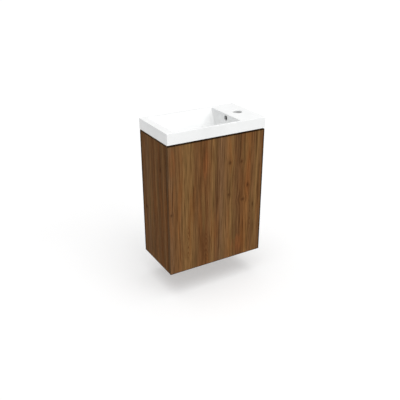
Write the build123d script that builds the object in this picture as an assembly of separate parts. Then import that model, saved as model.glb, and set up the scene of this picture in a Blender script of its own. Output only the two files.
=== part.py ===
from build123d import *
from math import atan2, cos, degrees, radians, tan
import os

# Wall-hung cloakroom vanity unit: a cast basin on a one-door cabinet.
# Millimetres. X runs to the right, Y towards the wall, Z up. The origin is the middle of the
# four wall-fixing holes, on the wall plane. The door is at the front, its hinges on the right.

# Overall
unit_width = 400.0
unit_depth = 220.0
rim_height = 40.0           # the basin's straight outer edge
joint_height = 4.0          # dark joint between basin and cabinet
cabinet_height = 500.0
side_overhang = 2.0         # basin past the cabinet, each side
front_overhang = 1.0        # basin past the door
fixing_drop = 120.0         # cabinet top down to the middle of the wall fixings

# Boards
board = 15.0
door_thickness = 16.0
door_gap = 2.0              # door back to the carcass front edges
rail_recess = 16.0          # back rails forward of the wall
upper_rail_drop = 20.0
upper_rail_height = 100.0
lower_rail_height = 80.0
shelf_height = 165.0        # shelf underside above the cabinet's underside
shelf_side_gap = 0.8
shelf_front_gap = 12.0
shelf_back_gap = 5.0
merge = 1.0                 # how far a fused or cut form runs past the face it meets

# Fits
fit_gap = 0.1               # round a screw, dowel or pin in a board
press_gap = 0.02            # round a pin pressed into metal
running_gap = 0.06          # round a pin that a link turns on

# Basin
basin_wall = 8.0
tub_in_rim = 10.0           # tub walls up into the rim slab
bowl_left_rim = 28.0
bowl_front_rim = 8.0
bowl_back_rim = 15.0
ledge_width = 103.0
bowl_depth = 90.0
end_draft = 3.0             # degrees, left and right bowl walls
side_slope = 25.0           # degrees, front and back bowl walls
bowl_corner = 7.0
rim_corner = 2.0
rim_edge = 1.2
ledge_deck = 14.0
ledge_skirt = 18.0          # right wall of the hollow under the ledge
ledge_end_wall = 10.0       # its front and back walls
tap_hole_diameter = 35.0
tap_from_right = 50.0
tap_from_wall = 110.0
waste_diameter = 45.0
waste_boss_wall = 8.0
waste_boss_drop = 32.0      # bowl floor down to the boss's end
waste_dish_diameter = 78.0
waste_dish_depth = 2.5
overflow_diameter = 20.0
overflow_drop = 16.0        # basin top down to the hole's centre
duct_width = 24.0
duct_height = 12.0
duct_wall = 4.0
duct_top_skin = 5.0

# Seal bead
bead_recess = 3.0
bead_width = 9.0
bead_end_gap = 3.0

# Joinery
dowel_diameter = 8.0
dowel_length = 30.0
dowel_in_side = 10.0
dowel_from_cam = 26.0
base_cam_inset = 50.0       # from the base panel's front and back edges
cam_diameter = 15.0
cam_height = 12.0
cam_from_end = 24.0
cam_slot = 7.6
cam_cross = 7.5
bolt_shank = 6.0
bolt_head = 7.0
bolt_head_length = 2.0
bolt_thread = 5.0
bolt_in_side = 11.0

# Shelf pins
shelf_pin_diameter = 5.0
shelf_pin_depth = 9.0
shelf_pin_tab = 7.0
shelf_pin_tab_height = 3.0
shelf_pin_tab_width = 10.0
shelf_pin_inset = 32.0      # from the shelf's front and back edges

# Hangers and wall plates
plate_thickness = 2.0
plate_width = 40.0
plate_low = 22.0            # below the fixing centre
plate_bend = 18.0           # above the fixing centre, where the lip starts to stand off
plate_lip = 36.0            # top of the lip above the fixing centre
plate_standoff = 6.0        # lip back face off the wall
plate_side_gap = 2.0
fixing_spacing = 20.0       # between the two holes of a plate
fixing_hole = 6.5
hook_thickness = 3.0
hook_bar = 10.0
hook_tip = 3.4
hook_tip_drop = 10.0
hook_wall_gap = 1.2
hook_end_gap = 1.0
hook_reach = 34.0           # inside the housing
hook_from_side = 9.0
hanger_width = 18.0
hanger_length = 60.0
hanger_height = 50.0
hanger_slot_gap = 0.3
hanger_corner = 2.0
rail_slot_gap = 3.0         # round the hook where it passes the upper rail
hanger_screw_inset = 10.0
hanger_screw_rise = 9.0
hanger_screw_diameter = 5.0
hanger_screw_length = 28.0
screw_head_diameter = 8.0
screw_head_height = 2.4
cross_slot = 1.0
recess_share = 0.6          # of a screw head, across and deep
adjuster_diameter = 8.0
adjuster_length = 12.0
adjuster_drop = 10.0
adjuster_cross = 5.6
adjuster_cross_depth = 1.5

# Concealed hinges
hinge_inset = 70.0          # door ends to the hinge centres
cup_diameter = 35.0
cup_from_edge = 3.5
cup_depth = 12.5
cup_wall = 1.6
cup_floor = 1.0
ear_thickness = 1.2
ear_from_middle = 10.0
ear_reach = 29.0
ear_start = 19.0            # from the door edge
ear_end = 36.0
ear_corner = 5.0
cup_screw_offset = 24.0
cup_screw_from_edge = 27.0
cup_screw_diameter = 4.0
cup_screw_length = 11.0
cup_screw_head_height = 1.2
hinge_pin = 2.5
outer_pivot_from_edge = 8.70
outer_pivot_sink = 3.93     # below the door's back face
inner_pivot_from_edge = 10.24
inner_pivot_sink = 8.90
outer_anchor_inboard = 14.84    # from the side panel's inner face
outer_anchor_back = 13.17       # behind its front edge
inner_anchor_inboard = 19.83
inner_anchor_back = 1.87
inner_eye_shift = 0.17      # centre of the free eye beyond the anchor pin
inner_eye_bore = 6.0        # lets the pin wander as the door swings
inner_eye_wall = 0.9
inner_link_width = 2.4
inner_link_half = 3.5
link_gap = 0.4
outer_link_width = 3.2
outer_cheek = 2.0
sleeve_wall = 1.3
eye_wall = 0.85
lug_thickness = 1.3
lug_margin = 3.0            # lug past the inner pivot
lug_sink = 1.0              # lug below the cup's rim
arm_cheek = 1.6
arm_web = 1.5
arm_nose = 3.2
arm_back = 66.0             # behind the panel's front edge
arm_seat = 10.0             # web's underside off the panel's inner face
arm_skirt = 2.5             # cheek edge off the panel's inner face
plate_wing = 2.0
plate_wing_reach = 24.0
plate_line = 37.0           # plate screws behind the panel's front edge
plate_wing_half = 9.0
plate_corner = 4.0
plate_screw_offset = 16.0
plate_screw_diameter = 6.0
plate_screw_length = 12.0
plate_screw_head = 9.0
plate_rail_front = 22.0
plate_rail_back = 62.0
plate_rail_half = 6.2
arm_screw_diameter = 5.0
arm_screw_length = 9.0
arm_screw_places = (37.0, 53.0)
outer_elbow_shifts = ((4.3, -2.3), (6.8, -1.5))     # from the outer pivot
outer_elbow_back = (-5.8, -12.0)                    # from the outer anchor
inner_elbow_shift = (10.3, -0.2)                    # from the inner pivot
arm_crest = (1.7, 10.0)             # from the inner anchor
arm_throat = (-4.0, -3.0)           # from the outer anchor
arm_heel_back = 17.0                # behind the outer anchor
arm_skirt_back = 12.0
arm_joint_gap = 0.5                 # link cheeks to arm cheeks
web_nose = 1.8
web_bend = 0.75

# Push latch
latch_drop = 250.0          # cabinet top down to the latch
latch_width = 20.0
latch_height = 18.0
latch_length = 72.0
latch_setback = 1.0         # housing front behind the panel's front edge
latch_corner = 4.0
plunger_diameter = 10.0
plunger_length = 48.0
plunger_gap = 0.1
magnet_diameter = 8.0
magnet_length = 4.0
magnet_recess = 3.5
spring_diameter = 7.0
spring_wire = 0.8
spring_turns = 8
spring_seat = 24.0          # bore in the plunger's back for the spring
spring_gap = 0.4
latch_back_wall = 3.0
strike_thickness = 1.0
strike_width = 20.0
strike_height = 28.0
strike_rise = 8.0           # plate above the plunger's centre
strike_corner = 3.0
strike_screw_diameter = 3.5
strike_screw_length = 11.0
strike_screw_drop = 13.0
strike_screw_head = 5.6
strike_screw_head_height = 0.6
latch_ear = 12.0
latch_ear_thickness = 3.0
latch_ear_corner = 3.0

# Places worked out from the sizes above
cabinet_side = unit_width / 2 - side_overhang
inner_side = cabinet_side - board
cabinet_top = fixing_drop
cabinet_bottom = cabinet_top - cabinet_height
basin_bottom = cabinet_top + joint_height
basin_top = basin_bottom + rim_height
door_front = -unit_depth + front_overhang
door_back = door_front + door_thickness
panel_front = door_back + door_gap
rail_back = -rail_recess
rail_front = rail_back - board
base_top = cabinet_bottom + board
upper_rail_top = cabinet_top - upper_rail_drop
upper_rail_bottom = upper_rail_top - upper_rail_height
lower_rail_top = base_top + lower_rail_height
shelf_bottom = cabinet_bottom + shelf_height
shelf_front = panel_front + shelf_front_gap
shelf_back = rail_front - shelf_back_gap

bowl_left = -unit_width / 2 + bowl_left_rim
bowl_right = unit_width / 2 - ledge_width
bowl_front = -unit_depth + bowl_front_rim
bowl_back = -bowl_back_rim
bowl_floor = basin_top - bowl_depth
waste_x = (bowl_left + bowl_right) / 2
waste_y = (bowl_front + bowl_back) / 2
tap_x = unit_width / 2 - tap_from_right

hinge_heights = {
    "upper": cabinet_top - hinge_inset,
    "lower": cabinet_bottom + hinge_inset,
}
cheek_inner = inner_link_half + link_gap
cheek_outer = cheek_inner + outer_cheek
lug_inner = cheek_outer + link_gap
lug_outer = lug_inner + lug_thickness
arm_inner = cheek_outer + arm_joint_gap
arm_outer = arm_inner + arm_cheek
pin_radius = hinge_pin / 2

hook_top = plate_lip + hook_bar
hanger_bottom = plate_lip - hanger_height / 2
hanger_top = hanger_bottom + hanger_height
hanger_front = rail_front - hanger_length
latch_z = cabinet_top - latch_drop
latch_x = -inner_side + latch_width / 2
latch_front = panel_front + latch_setback
latch_back = latch_front + latch_length
plunger_front = door_back + strike_thickness + magnet_length - magnet_recess
plunger_back = plunger_front + plunger_length
spring_front = plunger_back - spring_seat
spring_back = latch_back - latch_back_wall
sides = {"left": -1, "right": 1}


def block(x, y, z):
    """Box between the two values given on each axis, in either order."""
    spans = [sorted(pair) for pair in (x, y, z)]
    size = [high - low for low, high in spans]
    middle = [(low + high) / 2 for low, high in spans]
    return Pos(*middle) * Box(*size)


def rod(radius, start, end):
    """Cylinder from one point to another."""
    run = Vector(*end) - Vector(*start)
    low_end = (Align.CENTER, Align.CENTER, Align.MIN)
    return Plane(origin=start, z_dir=run) * Cylinder(radius, run.length, align=low_end)


def group(solids):
    """Separate solids kept together as one node."""
    return Compound(children=[solid for item in solids for solid in item.solids()])


def bar(points, width):
    """Outline of a flat bar of even width along the points, with round ends and elbows."""
    outline = Pos(*points[0]) * Circle(width / 2)
    for start, end in zip(points, points[1:]):
        run = Vector(*end) - Vector(*start)
        middle = (Vector(*start) + Vector(*end)) * 0.5
        turn = degrees(atan2(run.Y, run.X))
        outline += Pos(middle.X, middle.Y) * Rot(0, 0, turn) * Rectangle(run.length, width)
        outline += Pos(*end) * Circle(width / 2)
    return outline


def screw(point, direction, diameter, length, head_diameter, head_height):
    """Screw with a cross recess: point is under the head, direction is the way it is driven."""
    along = Vector(*direction)
    seat = Vector(*point)
    top = seat - along * head_height
    body = rod(diameter / 2, seat, seat + along * length) + rod(head_diameter / 2, top, seat)
    flat = Plane(origin=top, z_dir=along)
    reach = head_diameter * recess_share
    depth = 2 * head_height * recess_share
    return body - flat * (Box(reach, cross_slot, depth) + Box(cross_slot, reach, depth))


# Basin

def trough(grow, low, high, corner):
    """Drafted bowl shape between two levels, grown outwards by a wall."""
    end, side = radians(end_draft), radians(side_slope)
    sections = []
    for level in (low, high):
        drop = basin_top - level
        x_in = drop * tan(end) - grow / cos(end)
        y_in = drop * tan(side) - grow / cos(side)
        size = (bowl_right - bowl_left - 2 * x_in, bowl_back - bowl_front - 2 * y_in)
        sections.append(Pos(waste_x, waste_y, level) * Rectangle(*size))
    body = loft(sections, ruled=True)
    upper = body.faces().sort_by(Axis.Z)[-1].edges()
    return fillet([edge for edge in body.edges() if edge not in upper], corner)


def make_basin():
    half = unit_width / 2
    slab = block((-half, half), (-unit_depth, 0), (basin_bottom, basin_top))
    slab = fillet(slab.edges().filter_by(Axis.Z), rim_corner)
    slab = fillet(slab.faces().sort_by(Axis.Z)[-1].edges(), rim_edge)
    pocket = block(
        (bowl_right + basin_wall, half - ledge_skirt),
        (-unit_depth + ledge_end_wall, -ledge_end_wall),
        (basin_bottom, basin_top - ledge_deck),
    )
    tub_top = basin_bottom + tub_in_rim
    tub = trough(basin_wall, bowl_floor - basin_wall, tub_top, bowl_corner + basin_wall)
    boss_bottom = bowl_floor - waste_boss_drop
    boss_radius = waste_diameter / 2 + waste_boss_wall
    boss = rod(boss_radius, (waste_x, waste_y, boss_bottom), (waste_x, waste_y, bowl_floor - merge))

    # The overflow runs down behind the bowl's right wall and under its floor to the waste.
    duct_left = bowl_right + basin_wall
    duct_right = duct_left + duct_height
    duct_high = basin_top - duct_top_skin
    run_high = bowl_floor - basin_wall - duct_wall
    run_low = run_high - duct_height
    duct_y = (waste_y - duct_width / 2, waste_y + duct_width / 2)
    channel = block((duct_left - duct_wall / 2, duct_right), duct_y, (run_low, duct_high))
    channel += block((waste_x, duct_right), duct_y, (run_low, run_high))
    casing_y = (duct_y[0] - duct_wall, duct_y[1] + duct_wall)
    casing_low = run_low - duct_wall
    casing = block(
        (duct_left - duct_wall, duct_right + duct_wall),
        casing_y,
        (casing_low, basin_top - ledge_deck),
    )
    casing += block(
        (waste_x, duct_right + duct_wall), casing_y, (casing_low, bowl_floor - basin_wall / 2)
    )
    bowl = trough(0, bowl_floor, basin_top, bowl_corner)

    body = slab - pocket + tub + boss + casing
    body -= bowl
    body -= channel
    waste = rod(
        waste_diameter / 2, (waste_x, waste_y, boss_bottom), (waste_x, waste_y, basin_top)
    )
    dish = Pos(waste_x, waste_y, bowl_floor - waste_dish_depth / 2) * Cone(
        waste_diameter / 2, waste_dish_diameter / 2, waste_dish_depth
    )
    overflow_z = basin_top - overflow_drop
    overflow = rod(
        overflow_diameter / 2,
        (bowl_right - basin_wall, waste_y, overflow_z),
        (duct_left + duct_wall, waste_y, overflow_z),
    )
    tap = rod(
        tap_hole_diameter / 2,
        (tap_x, -tap_from_wall, basin_bottom),
        (tap_x, -tap_from_wall, basin_top),
    )
    body = body - waste - dish - overflow - tap
    top = body.faces().sort_by(Axis.Z)[-1]
    bowl_rim = max(top.inner_wires(), key=lambda wire: wire.length)
    return fillet(bowl_rim.edges(), rim_edge)


def make_basin_seal():
    strips = []
    for side in sides.values():
        outer = side * (cabinet_side - bead_recess)
        x = (outer, outer - side * bead_width)
        y = (panel_front + bead_end_gap, -bead_end_gap)
        strips.append(block(x, y, (cabinet_top, basin_bottom)))
    return group(strips)


# Joinery between the side panels and the boards across them

def joints():
    """Each joint: side, place on the side panel, cam direction and the way to its dowels."""
    rail_y = (rail_front + rail_back) / 2
    found = []
    for side in sides.values():
        base_z = cabinet_bottom + board / 2
        for y in (panel_front + base_cam_inset, -base_cam_inset):
            found.append((side, y, base_z, (0, 0, -1), (0, 1, 0)))
        for z in (base_top + lower_rail_height / 2, upper_rail_bottom + upper_rail_height / 2):
            found.append((side, rail_y, z, (0, 1, 0), (0, 0, -1)))
    return found


def cam_shape(side, y, z, out, grow):
    """Cam body with its open face flush with the board, or its recess when grown."""
    centre = Vector(side * (inner_side - cam_from_end), y, z)
    face = centre + Vector(*out) * (board / 2)
    return rod(cam_diameter / 2 + grow, face, face - Vector(*out) * (cam_height + grow))


def make_cam_locks():
    cams = []
    for side, y, z, out, _ in joints():
        cam = cam_shape(side, y, z, out, 0)
        x_end = side * inner_side
        half = cam_slot / 2
        slot = block((side * (inner_side - cam_from_end) - side * half, x_end),
                     (y - half, y + half), (z - half, z + half))
        face = Vector(side * (inner_side - cam_from_end), y, z) + Vector(*out) * (board / 2)
        recess = Plane(origin=face, z_dir=out) * (
            Box(cam_cross, cross_slot, 2 * cross_slot)
            + Box(cross_slot, cam_cross, 2 * cross_slot)
        )
        cams.append(cam - slot - recess)
    return group(cams)


def make_cam_bolts():
    bolts = []
    for side, y, z, _, _ in joints():
        x_face = side * inner_side
        x_head = side * (inner_side - cam_from_end) + side * bolt_head_length / 2
        x_tip = x_face + side * (bolt_in_side - fit_gap)
        bolt = rod(bolt_shank / 2, (x_face, y, z), (x_head, y, z))
        bolt += rod(bolt_thread / 2, (x_face, y, z), (x_tip, y, z))
        bolt += rod(bolt_head / 2, (x_head, y, z), (x_head - side * bolt_head_length, y, z))
        bolts.append(bolt)
    return group(bolts)


def dowel_places():
    return [
        (side, Vector(0, y, z) + Vector(*along) * dowel_from_cam)
        for side, y, z, _, along in joints()
    ]


def make_dowels():
    pegs = []
    for side, place in dowel_places():
        low = side * (inner_side + dowel_in_side - fit_gap)
        high = low - side * (dowel_length - 2 * fit_gap)
        pegs.append(rod(dowel_diameter / 2, (low, place.Y, place.Z), (high, place.Y, place.Z)))
    return group(pegs)


def joint_holes():
    """Everything that the joints take out of the boards."""
    holes = []
    for side, y, z, out, _ in joints():
        x_face = side * inner_side
        holes.append(cam_shape(side, y, z, out, fit_gap))
        x_cam = side * (inner_side - cam_from_end)
        holes.append(rod(bolt_head / 2 + fit_gap, (x_face, y, z), (x_cam, y, z)))
        x_tip = x_face + side * bolt_in_side
        holes.append(rod(bolt_thread / 2 + fit_gap, (x_face, y, z), (x_tip, y, z)))
    for side, place in dowel_places():
        low = side * (inner_side + dowel_in_side)
        high = low - side * dowel_length
        radius = dowel_diameter / 2 + fit_gap
        holes.append(rod(radius, (low, place.Y, place.Z), (high, place.Y, place.Z)))
    return holes


def drilled(board_solid, holes):
    """A board less the holes that reach it."""
    box = board_solid.bounding_box()
    for hole in holes:
        other = hole.bounding_box()
        apart = (
            other.min.X > box.max.X or other.max.X < box.min.X
            or other.min.Y > box.max.Y or other.max.Y < box.min.Y
            or other.min.Z > box.max.Z or other.max.Z < box.min.Z
        )
        if not apart:
            board_solid -= hole
    return board_solid


# Carcass boards

def shelf_pin_places():
    return [
        (side, y)
        for side in sides.values()
        for y in (shelf_front + shelf_pin_inset, shelf_back - shelf_pin_inset)
    ]


def make_side_panel(side):
    panel = block(
        (side * inner_side, side * cabinet_side), (panel_front, 0), (cabinet_bottom, cabinet_top)
    )
    holes = joint_holes() + hanger_screw_holes()
    pin_z = shelf_bottom - shelf_pin_tab_height / 2
    for pin_side, y in shelf_pin_places():
        x = pin_side * inner_side
        deep = x + pin_side * shelf_pin_depth
        holes.append(rod(shelf_pin_diameter / 2 + fit_gap, (x, y, pin_z), (deep, y, pin_z)))
    if side > 0:
        holes += hinge_plate_holes()
    else:
        holes += latch_screw_holes()
    return drilled(panel, holes)


def make_base_panel():
    base = block((-inner_side, inner_side), (panel_front, 0), (cabinet_bottom, base_top))
    return drilled(base, joint_holes())


def make_lower_back_rail():
    rail = block((-inner_side, inner_side), (rail_front, rail_back), (base_top, lower_rail_top))
    return drilled(rail, joint_holes())


def make_upper_back_rail():
    rail = block(
        (-inner_side, inner_side), (rail_front, rail_back), (upper_rail_bottom, upper_rail_top)
    )
    holes = joint_holes()
    for side in sides.values():
        middle = side * (inner_side - hook_from_side)
        half = hook_thickness / 2 + rail_slot_gap
        holes.append(block((middle - half, middle + half), (rail_front, rail_back),
                           (plate_lip - rail_slot_gap, hook_top + rail_slot_gap)))
    return drilled(rail, holes)


def make_shelf():
    half = inner_side - shelf_side_gap
    return block(
        (-half, half), (shelf_front, shelf_back), (shelf_bottom, shelf_bottom + board)
    )


def make_shelf_pins():
    pins = []
    z_mid = shelf_bottom - shelf_pin_tab_height / 2
    for side, y in shelf_pin_places():
        x = side * inner_side
        deep = x + side * (shelf_pin_depth - fit_gap)
        pin = rod(shelf_pin_diameter / 2, (x, y, z_mid), (deep, y, z_mid))
        half = shelf_pin_tab_width / 2
        pin += block((x, x - side * shelf_pin_tab), (y - half, y + half),
                     (shelf_bottom - shelf_pin_tab_height, shelf_bottom))
        pins.append(pin)
    return group(pins)


# Hangers

def hanger_screw_places():
    """Side and place of each screw that holds a hanger housing to its side panel."""
    front = hanger_front + hanger_screw_inset
    back = rail_front - hanger_screw_inset
    height = hanger_bottom + hanger_screw_rise
    return [(side, y, height) for side in sides.values() for y in (front, back)]


def hanger_screw_holes():
    holes = []
    for side, y, z in hanger_screw_places():
        head = side * (inner_side - hanger_width)
        tip = head + side * (hanger_screw_length + fit_gap)
        holes.append(rod(hanger_screw_diameter / 2 + fit_gap, (head, y, z), (tip, y, z)))
    return holes


def make_hanger_housing(side):
    housing = block(
        (side * inner_side, side * (inner_side - hanger_width)),
        (hanger_front, rail_front),
        (hanger_bottom, hanger_top),
    )
    housing = fillet(housing.edges().filter_by(Axis.X), hanger_corner)
    middle = side * (inner_side - hook_from_side)
    half = hook_thickness / 2 + hanger_slot_gap
    slot_end = rail_front - hook_reach - hook_end_gap
    slot = block((middle - half, middle + half), (slot_end, rail_front),
                 (plate_lip - hanger_slot_gap, hook_top + hanger_slot_gap))
    housing -= slot
    for x, y, z in adjuster_places(side):
        radius = adjuster_diameter / 2 + fit_gap
        housing -= rod(radius, (x, y, z), (x, y + adjuster_length + fit_gap, z))
    return drilled(housing, hanger_screw_holes())


def make_hanger_hook(side):
    middle = side * (inner_side - hook_from_side)
    x = (middle - hook_thickness / 2, middle + hook_thickness / 2)
    back = -hook_wall_gap
    hook = block(x, (rail_front - hook_reach, back), (plate_lip, hook_top))
    hook += block(x, (back - hook_tip, back), (plate_lip - hook_tip_drop, hook_top))
    return hook


def make_hanger_screws():
    screws = []
    for side, y, z in hanger_screw_places():
        head = side * (inner_side - hanger_width)
        screws.append(screw((head, y, z), (side, 0, 0), hanger_screw_diameter,
                            hanger_screw_length, screw_head_diameter, screw_head_height))
    return group(screws)


def adjuster_places(side):
    x = side * (inner_side - hook_from_side)
    return [(x, hanger_front, hanger_top - adjuster_drop)]


def make_hanger_adjusters():
    screws = []
    for side in sides.values():
        for x, y, z in adjuster_places(side):
            body = rod(adjuster_diameter / 2, (x, y, z), (x, y + adjuster_length, z))
            face = Plane(origin=(x, y, z), z_dir=(0, 1, 0))
            depth = 2 * adjuster_cross_depth
            body -= face * Box(adjuster_cross, cross_slot, depth)
            body -= face * Box(cross_slot, adjuster_cross, depth)
            screws.append(body)
    return group(screws)


def make_wall_plate(side):
    """Steel plate screwed to the wall; its upper lip stands off so that the hook drops in."""
    outer = side * (inner_side - plate_side_gap)
    x = (outer, outer - side * plate_width)
    lip = (-plate_standoff - plate_thickness, -plate_standoff)
    flat = (-plate_thickness, 0)
    plate = block(x, flat, (-plate_low, plate_bend + plate_thickness))
    plate += block(x, (lip[0], 0), (plate_bend, plate_bend + plate_thickness))
    plate += block(x, lip, (plate_bend, plate_lip))
    for z in (-fixing_spacing / 2, fixing_spacing / 2):
        x_hole = side * (inner_side - plate_side_gap - plate_width / 2)
        plate -= rod(fixing_hole / 2, (x_hole, -plate_thickness, z), (x_hole, 0, z))
    return plate


# Hinges. Outlines are drawn from above: first value inward from the door's hinge edge, second
# backward from the door's front face.

def from_door(inward, sink):
    """Point given from the door's edge and down from its back face."""
    return (inward, door_thickness - sink)


def from_panel(inboard, back):
    """Point given from the side panel's inner face and front edge."""
    return (board + inboard, door_thickness + door_gap + back)


def shifted(point, shift):
    return (point[0] + shift[0], point[1] + shift[1])


outer_pivot = from_door(outer_pivot_from_edge, outer_pivot_sink)
inner_pivot = from_door(inner_pivot_from_edge, inner_pivot_sink)
outer_anchor = from_panel(outer_anchor_inboard, outer_anchor_back)
inner_anchor = from_panel(inner_anchor_inboard, inner_anchor_back)
inner_eye = (inner_anchor[0] + inner_eye_shift, inner_anchor[1])
# Elbows that lead each link round the door edge and the side panel's corner.
outer_elbows = [shifted(outer_pivot, shift) for shift in outer_elbow_shifts]
outer_elbows.append(shifted(outer_anchor, outer_elbow_back))
inner_elbow = shifted(inner_pivot, inner_elbow_shift)


def layer(outline, z, low, high):
    """Outline seen from above made solid between two heights over z."""
    plane = Plane(
        origin=(cabinet_side, door_front, z + (low + high) / 2), x_dir=(-1, 0, 0), z_dir=(0, 0, -1)
    )
    return plane * extrude(outline, (high - low) / 2, both=True)


def disc(point, radius):
    return Pos(*point) * Circle(radius)


def both(outline, z, inner, outer):
    """The outline twice, above and below the hinge's middle."""
    return layer(outline, z, inner, outer) + layer(outline, z, -outer, -inner)


def make_outer_link(z):
    link = bar([outer_pivot, *outer_elbows, outer_anchor], outer_link_width)
    link += disc(outer_pivot, pin_radius + eye_wall)
    link += disc(outer_anchor, pin_radius + sleeve_wall)
    solid = both(link, z, cheek_inner, cheek_outer)
    solid += layer(disc(outer_anchor, pin_radius + sleeve_wall), z, -cheek_outer, cheek_outer)
    for point in (outer_pivot, outer_anchor):
        solid -= layer(disc(point, pin_radius + running_gap), z, -cheek_outer, cheek_outer)
    return solid


def make_inner_link(z):
    link = bar([inner_pivot, inner_elbow, inner_eye], inner_link_width)
    link += disc(inner_pivot, pin_radius + eye_wall)
    link += disc(inner_eye, inner_eye_bore / 2 + inner_eye_wall)
    solid = layer(link, z, -inner_link_half, inner_link_half)
    bores = disc(inner_pivot, pin_radius + running_gap) + disc(inner_eye, inner_eye_bore / 2)
    return solid - layer(bores, z, -inner_link_half, inner_link_half)


def make_hinge_arm(z):
    seat = board + arm_seat
    back = door_thickness + door_gap + arm_back
    skirt = board + arm_skirt
    nose = inner_anchor
    crest = shifted(nose, arm_crest)
    heel = (seat + arm_web, outer_anchor[1] + arm_heel_back)
    outline = make_face(Polyline([
        (skirt, back), (skirt, outer_anchor[1] + arm_skirt_back), shifted(outer_anchor, arm_throat),
        (nose[0] - arm_nose, nose[1]), (nose[0] + arm_nose, nose[1]), crest, heel,
        (seat + arm_web, back),
    ], close=True))
    cheeks = both(outline + disc(nose, arm_nose), z, arm_inner, arm_outer)
    # The web follows the cheeks' inboard edge, clear of both links.
    web = make_face(Polyline([
        (crest[0] - web_nose, crest[1]), crest, heel, (seat + arm_web, back), (seat, back),
        (seat, heel[1] - web_bend),
    ], close=True))
    arm = cheeks + layer(web, z, -arm_inner, arm_inner)
    for point in (outer_anchor, inner_anchor):
        arm -= layer(disc(point, pin_radius + press_gap), z, -arm_outer, arm_outer)
    for x, y in arm_screw_points():
        hole = rod(arm_screw_diameter / 2 + fit_gap, (x, y, z),
                   (x - arm_web - merge, y, z))
        arm -= hole
    return arm


def arm_screw_points():
    """Where each arm screw meets the top of the mounting plate's rail."""
    x = inner_side - arm_seat
    return [(x, panel_front + place) for place in arm_screw_places]


def make_hinge_arm_screws():
    screws = []
    for z in hinge_heights.values():
        for x, y in arm_screw_points():
            screws.append(screw((x - arm_web, y, z), (1, 0, 0), arm_screw_diameter,
                                arm_screw_length, screw_head_diameter, screw_head_height))
    return group(screws)


def make_hinge_plate(z):
    line = panel_front + plate_line
    plate = block((inner_side, inner_side - plate_wing),
                  (line - plate_wing_half, line + plate_wing_half),
                  (z - plate_wing_reach, z + plate_wing_reach))
    plate = fillet(plate.edges().filter_by(Axis.X), plate_corner)
    plate += block((inner_side, inner_side - arm_seat),
                   (panel_front + plate_rail_front, panel_front + plate_rail_back),
                   (z - plate_rail_half, z + plate_rail_half))
    for offset in (-plate_screw_offset, plate_screw_offset):
        plate -= rod(plate_screw_diameter / 2 + fit_gap, (inner_side, line, z + offset),
                     (inner_side - plate_wing, line, z + offset))
    for x, y in arm_screw_points():
        deep = x + arm_screw_length - arm_web + fit_gap
        plate -= rod(arm_screw_diameter / 2 + fit_gap, (x, y, z), (deep, y, z))
    return plate


def plate_screw_points():
    return [
        (inner_side - plate_wing, panel_front + plate_line, z + offset)
        for z in hinge_heights.values()
        for offset in (-plate_screw_offset, plate_screw_offset)
    ]


def make_hinge_plate_screws():
    return group([
        screw(point, (1, 0, 0), plate_screw_diameter, plate_screw_length,
              plate_screw_head, screw_head_height)
        for point in plate_screw_points()
    ])


def hinge_plate_holes():
    return [
        rod(plate_screw_diameter / 2 + fit_gap, (x, y, z),
            (x + plate_screw_length + fit_gap, y, z))
        for x, y, z in plate_screw_points()
    ]


def make_hinge_arm_pins():
    return group([
        layer(disc(point, pin_radius), z, -arm_outer, arm_outer)
        for z in hinge_heights.values()
        for point in (outer_anchor, inner_anchor)
    ])


def cup_centre():
    return (cup_from_edge + cup_diameter / 2, door_thickness)


def make_hinge_cup(z):
    """Cup let into the door's back, with its screw ears and the lugs that hold the pins."""
    x = cabinet_side - cup_centre()[0]
    outer = cup_diameter / 2
    bottom = door_back - cup_depth
    cup = rod(outer, (x, bottom, z), (x, door_back, z))
    inside = rod(outer - cup_wall, (x, bottom + cup_floor, z), (x, door_back, z))
    lugs = block(
        (cabinet_side - cup_from_edge, cabinet_side - inner_pivot_from_edge - lug_margin),
        (bottom + cup_floor, door_back - lug_sink), (z - lug_outer, z + lug_outer),
    )
    lugs -= block(
        (cabinet_side, cabinet_side - cup_diameter), (bottom, door_back),
        (z - lug_inner, z + lug_inner),
    )
    ears = block(
        (cabinet_side - ear_start, cabinet_side - ear_end), (door_back, door_back + ear_thickness),
        (z - ear_reach, z + ear_reach),
    )
    ears = fillet(ears.edges().filter_by(Axis.Y), ear_corner)
    ears -= block((cabinet_side, cabinet_side - 2 * cup_diameter),
                  (door_back, door_back + ear_thickness),
                  (z - ear_from_middle, z + ear_from_middle))
    cup = cup - inside + (lugs & rod(outer - cup_wall / 2, (x, bottom, z), (x, door_back, z)))
    cup += ears
    for end in (-1, 1):
        place = (cabinet_side - cup_screw_from_edge, door_back, z + end * cup_screw_offset)
        cup -= rod(cup_screw_diameter / 2 + fit_gap, place,
                   (place[0], door_back + ear_thickness, place[2]))
    for point in (outer_pivot, inner_pivot):
        cup -= layer(disc(point, pin_radius + press_gap), z, -lug_outer, lug_outer)
    return cup


def make_hinge_cup_pins():
    """Two short pins for the outer link's cheeks and one through pin for the inner link."""
    pins = []
    for z in hinge_heights.values():
        pins.append(layer(disc(inner_pivot, pin_radius), z, -lug_outer, lug_outer))
        pins.append(layer(disc(outer_pivot, pin_radius), z, cheek_inner, lug_outer))
        pins.append(layer(disc(outer_pivot, pin_radius), z, -lug_outer, -cheek_inner))
    return group(pins)


def cup_screw_points():
    return [
        (cabinet_side - cup_screw_from_edge, door_back + ear_thickness, z + offset)
        for z in hinge_heights.values()
        for offset in (-cup_screw_offset, cup_screw_offset)
    ]


def make_hinge_cup_screws():
    return group([
        screw(point, (0, -1, 0), cup_screw_diameter, cup_screw_length, screw_head_diameter,
              cup_screw_head_height)
        for point in cup_screw_points()
    ])


# Door

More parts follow.
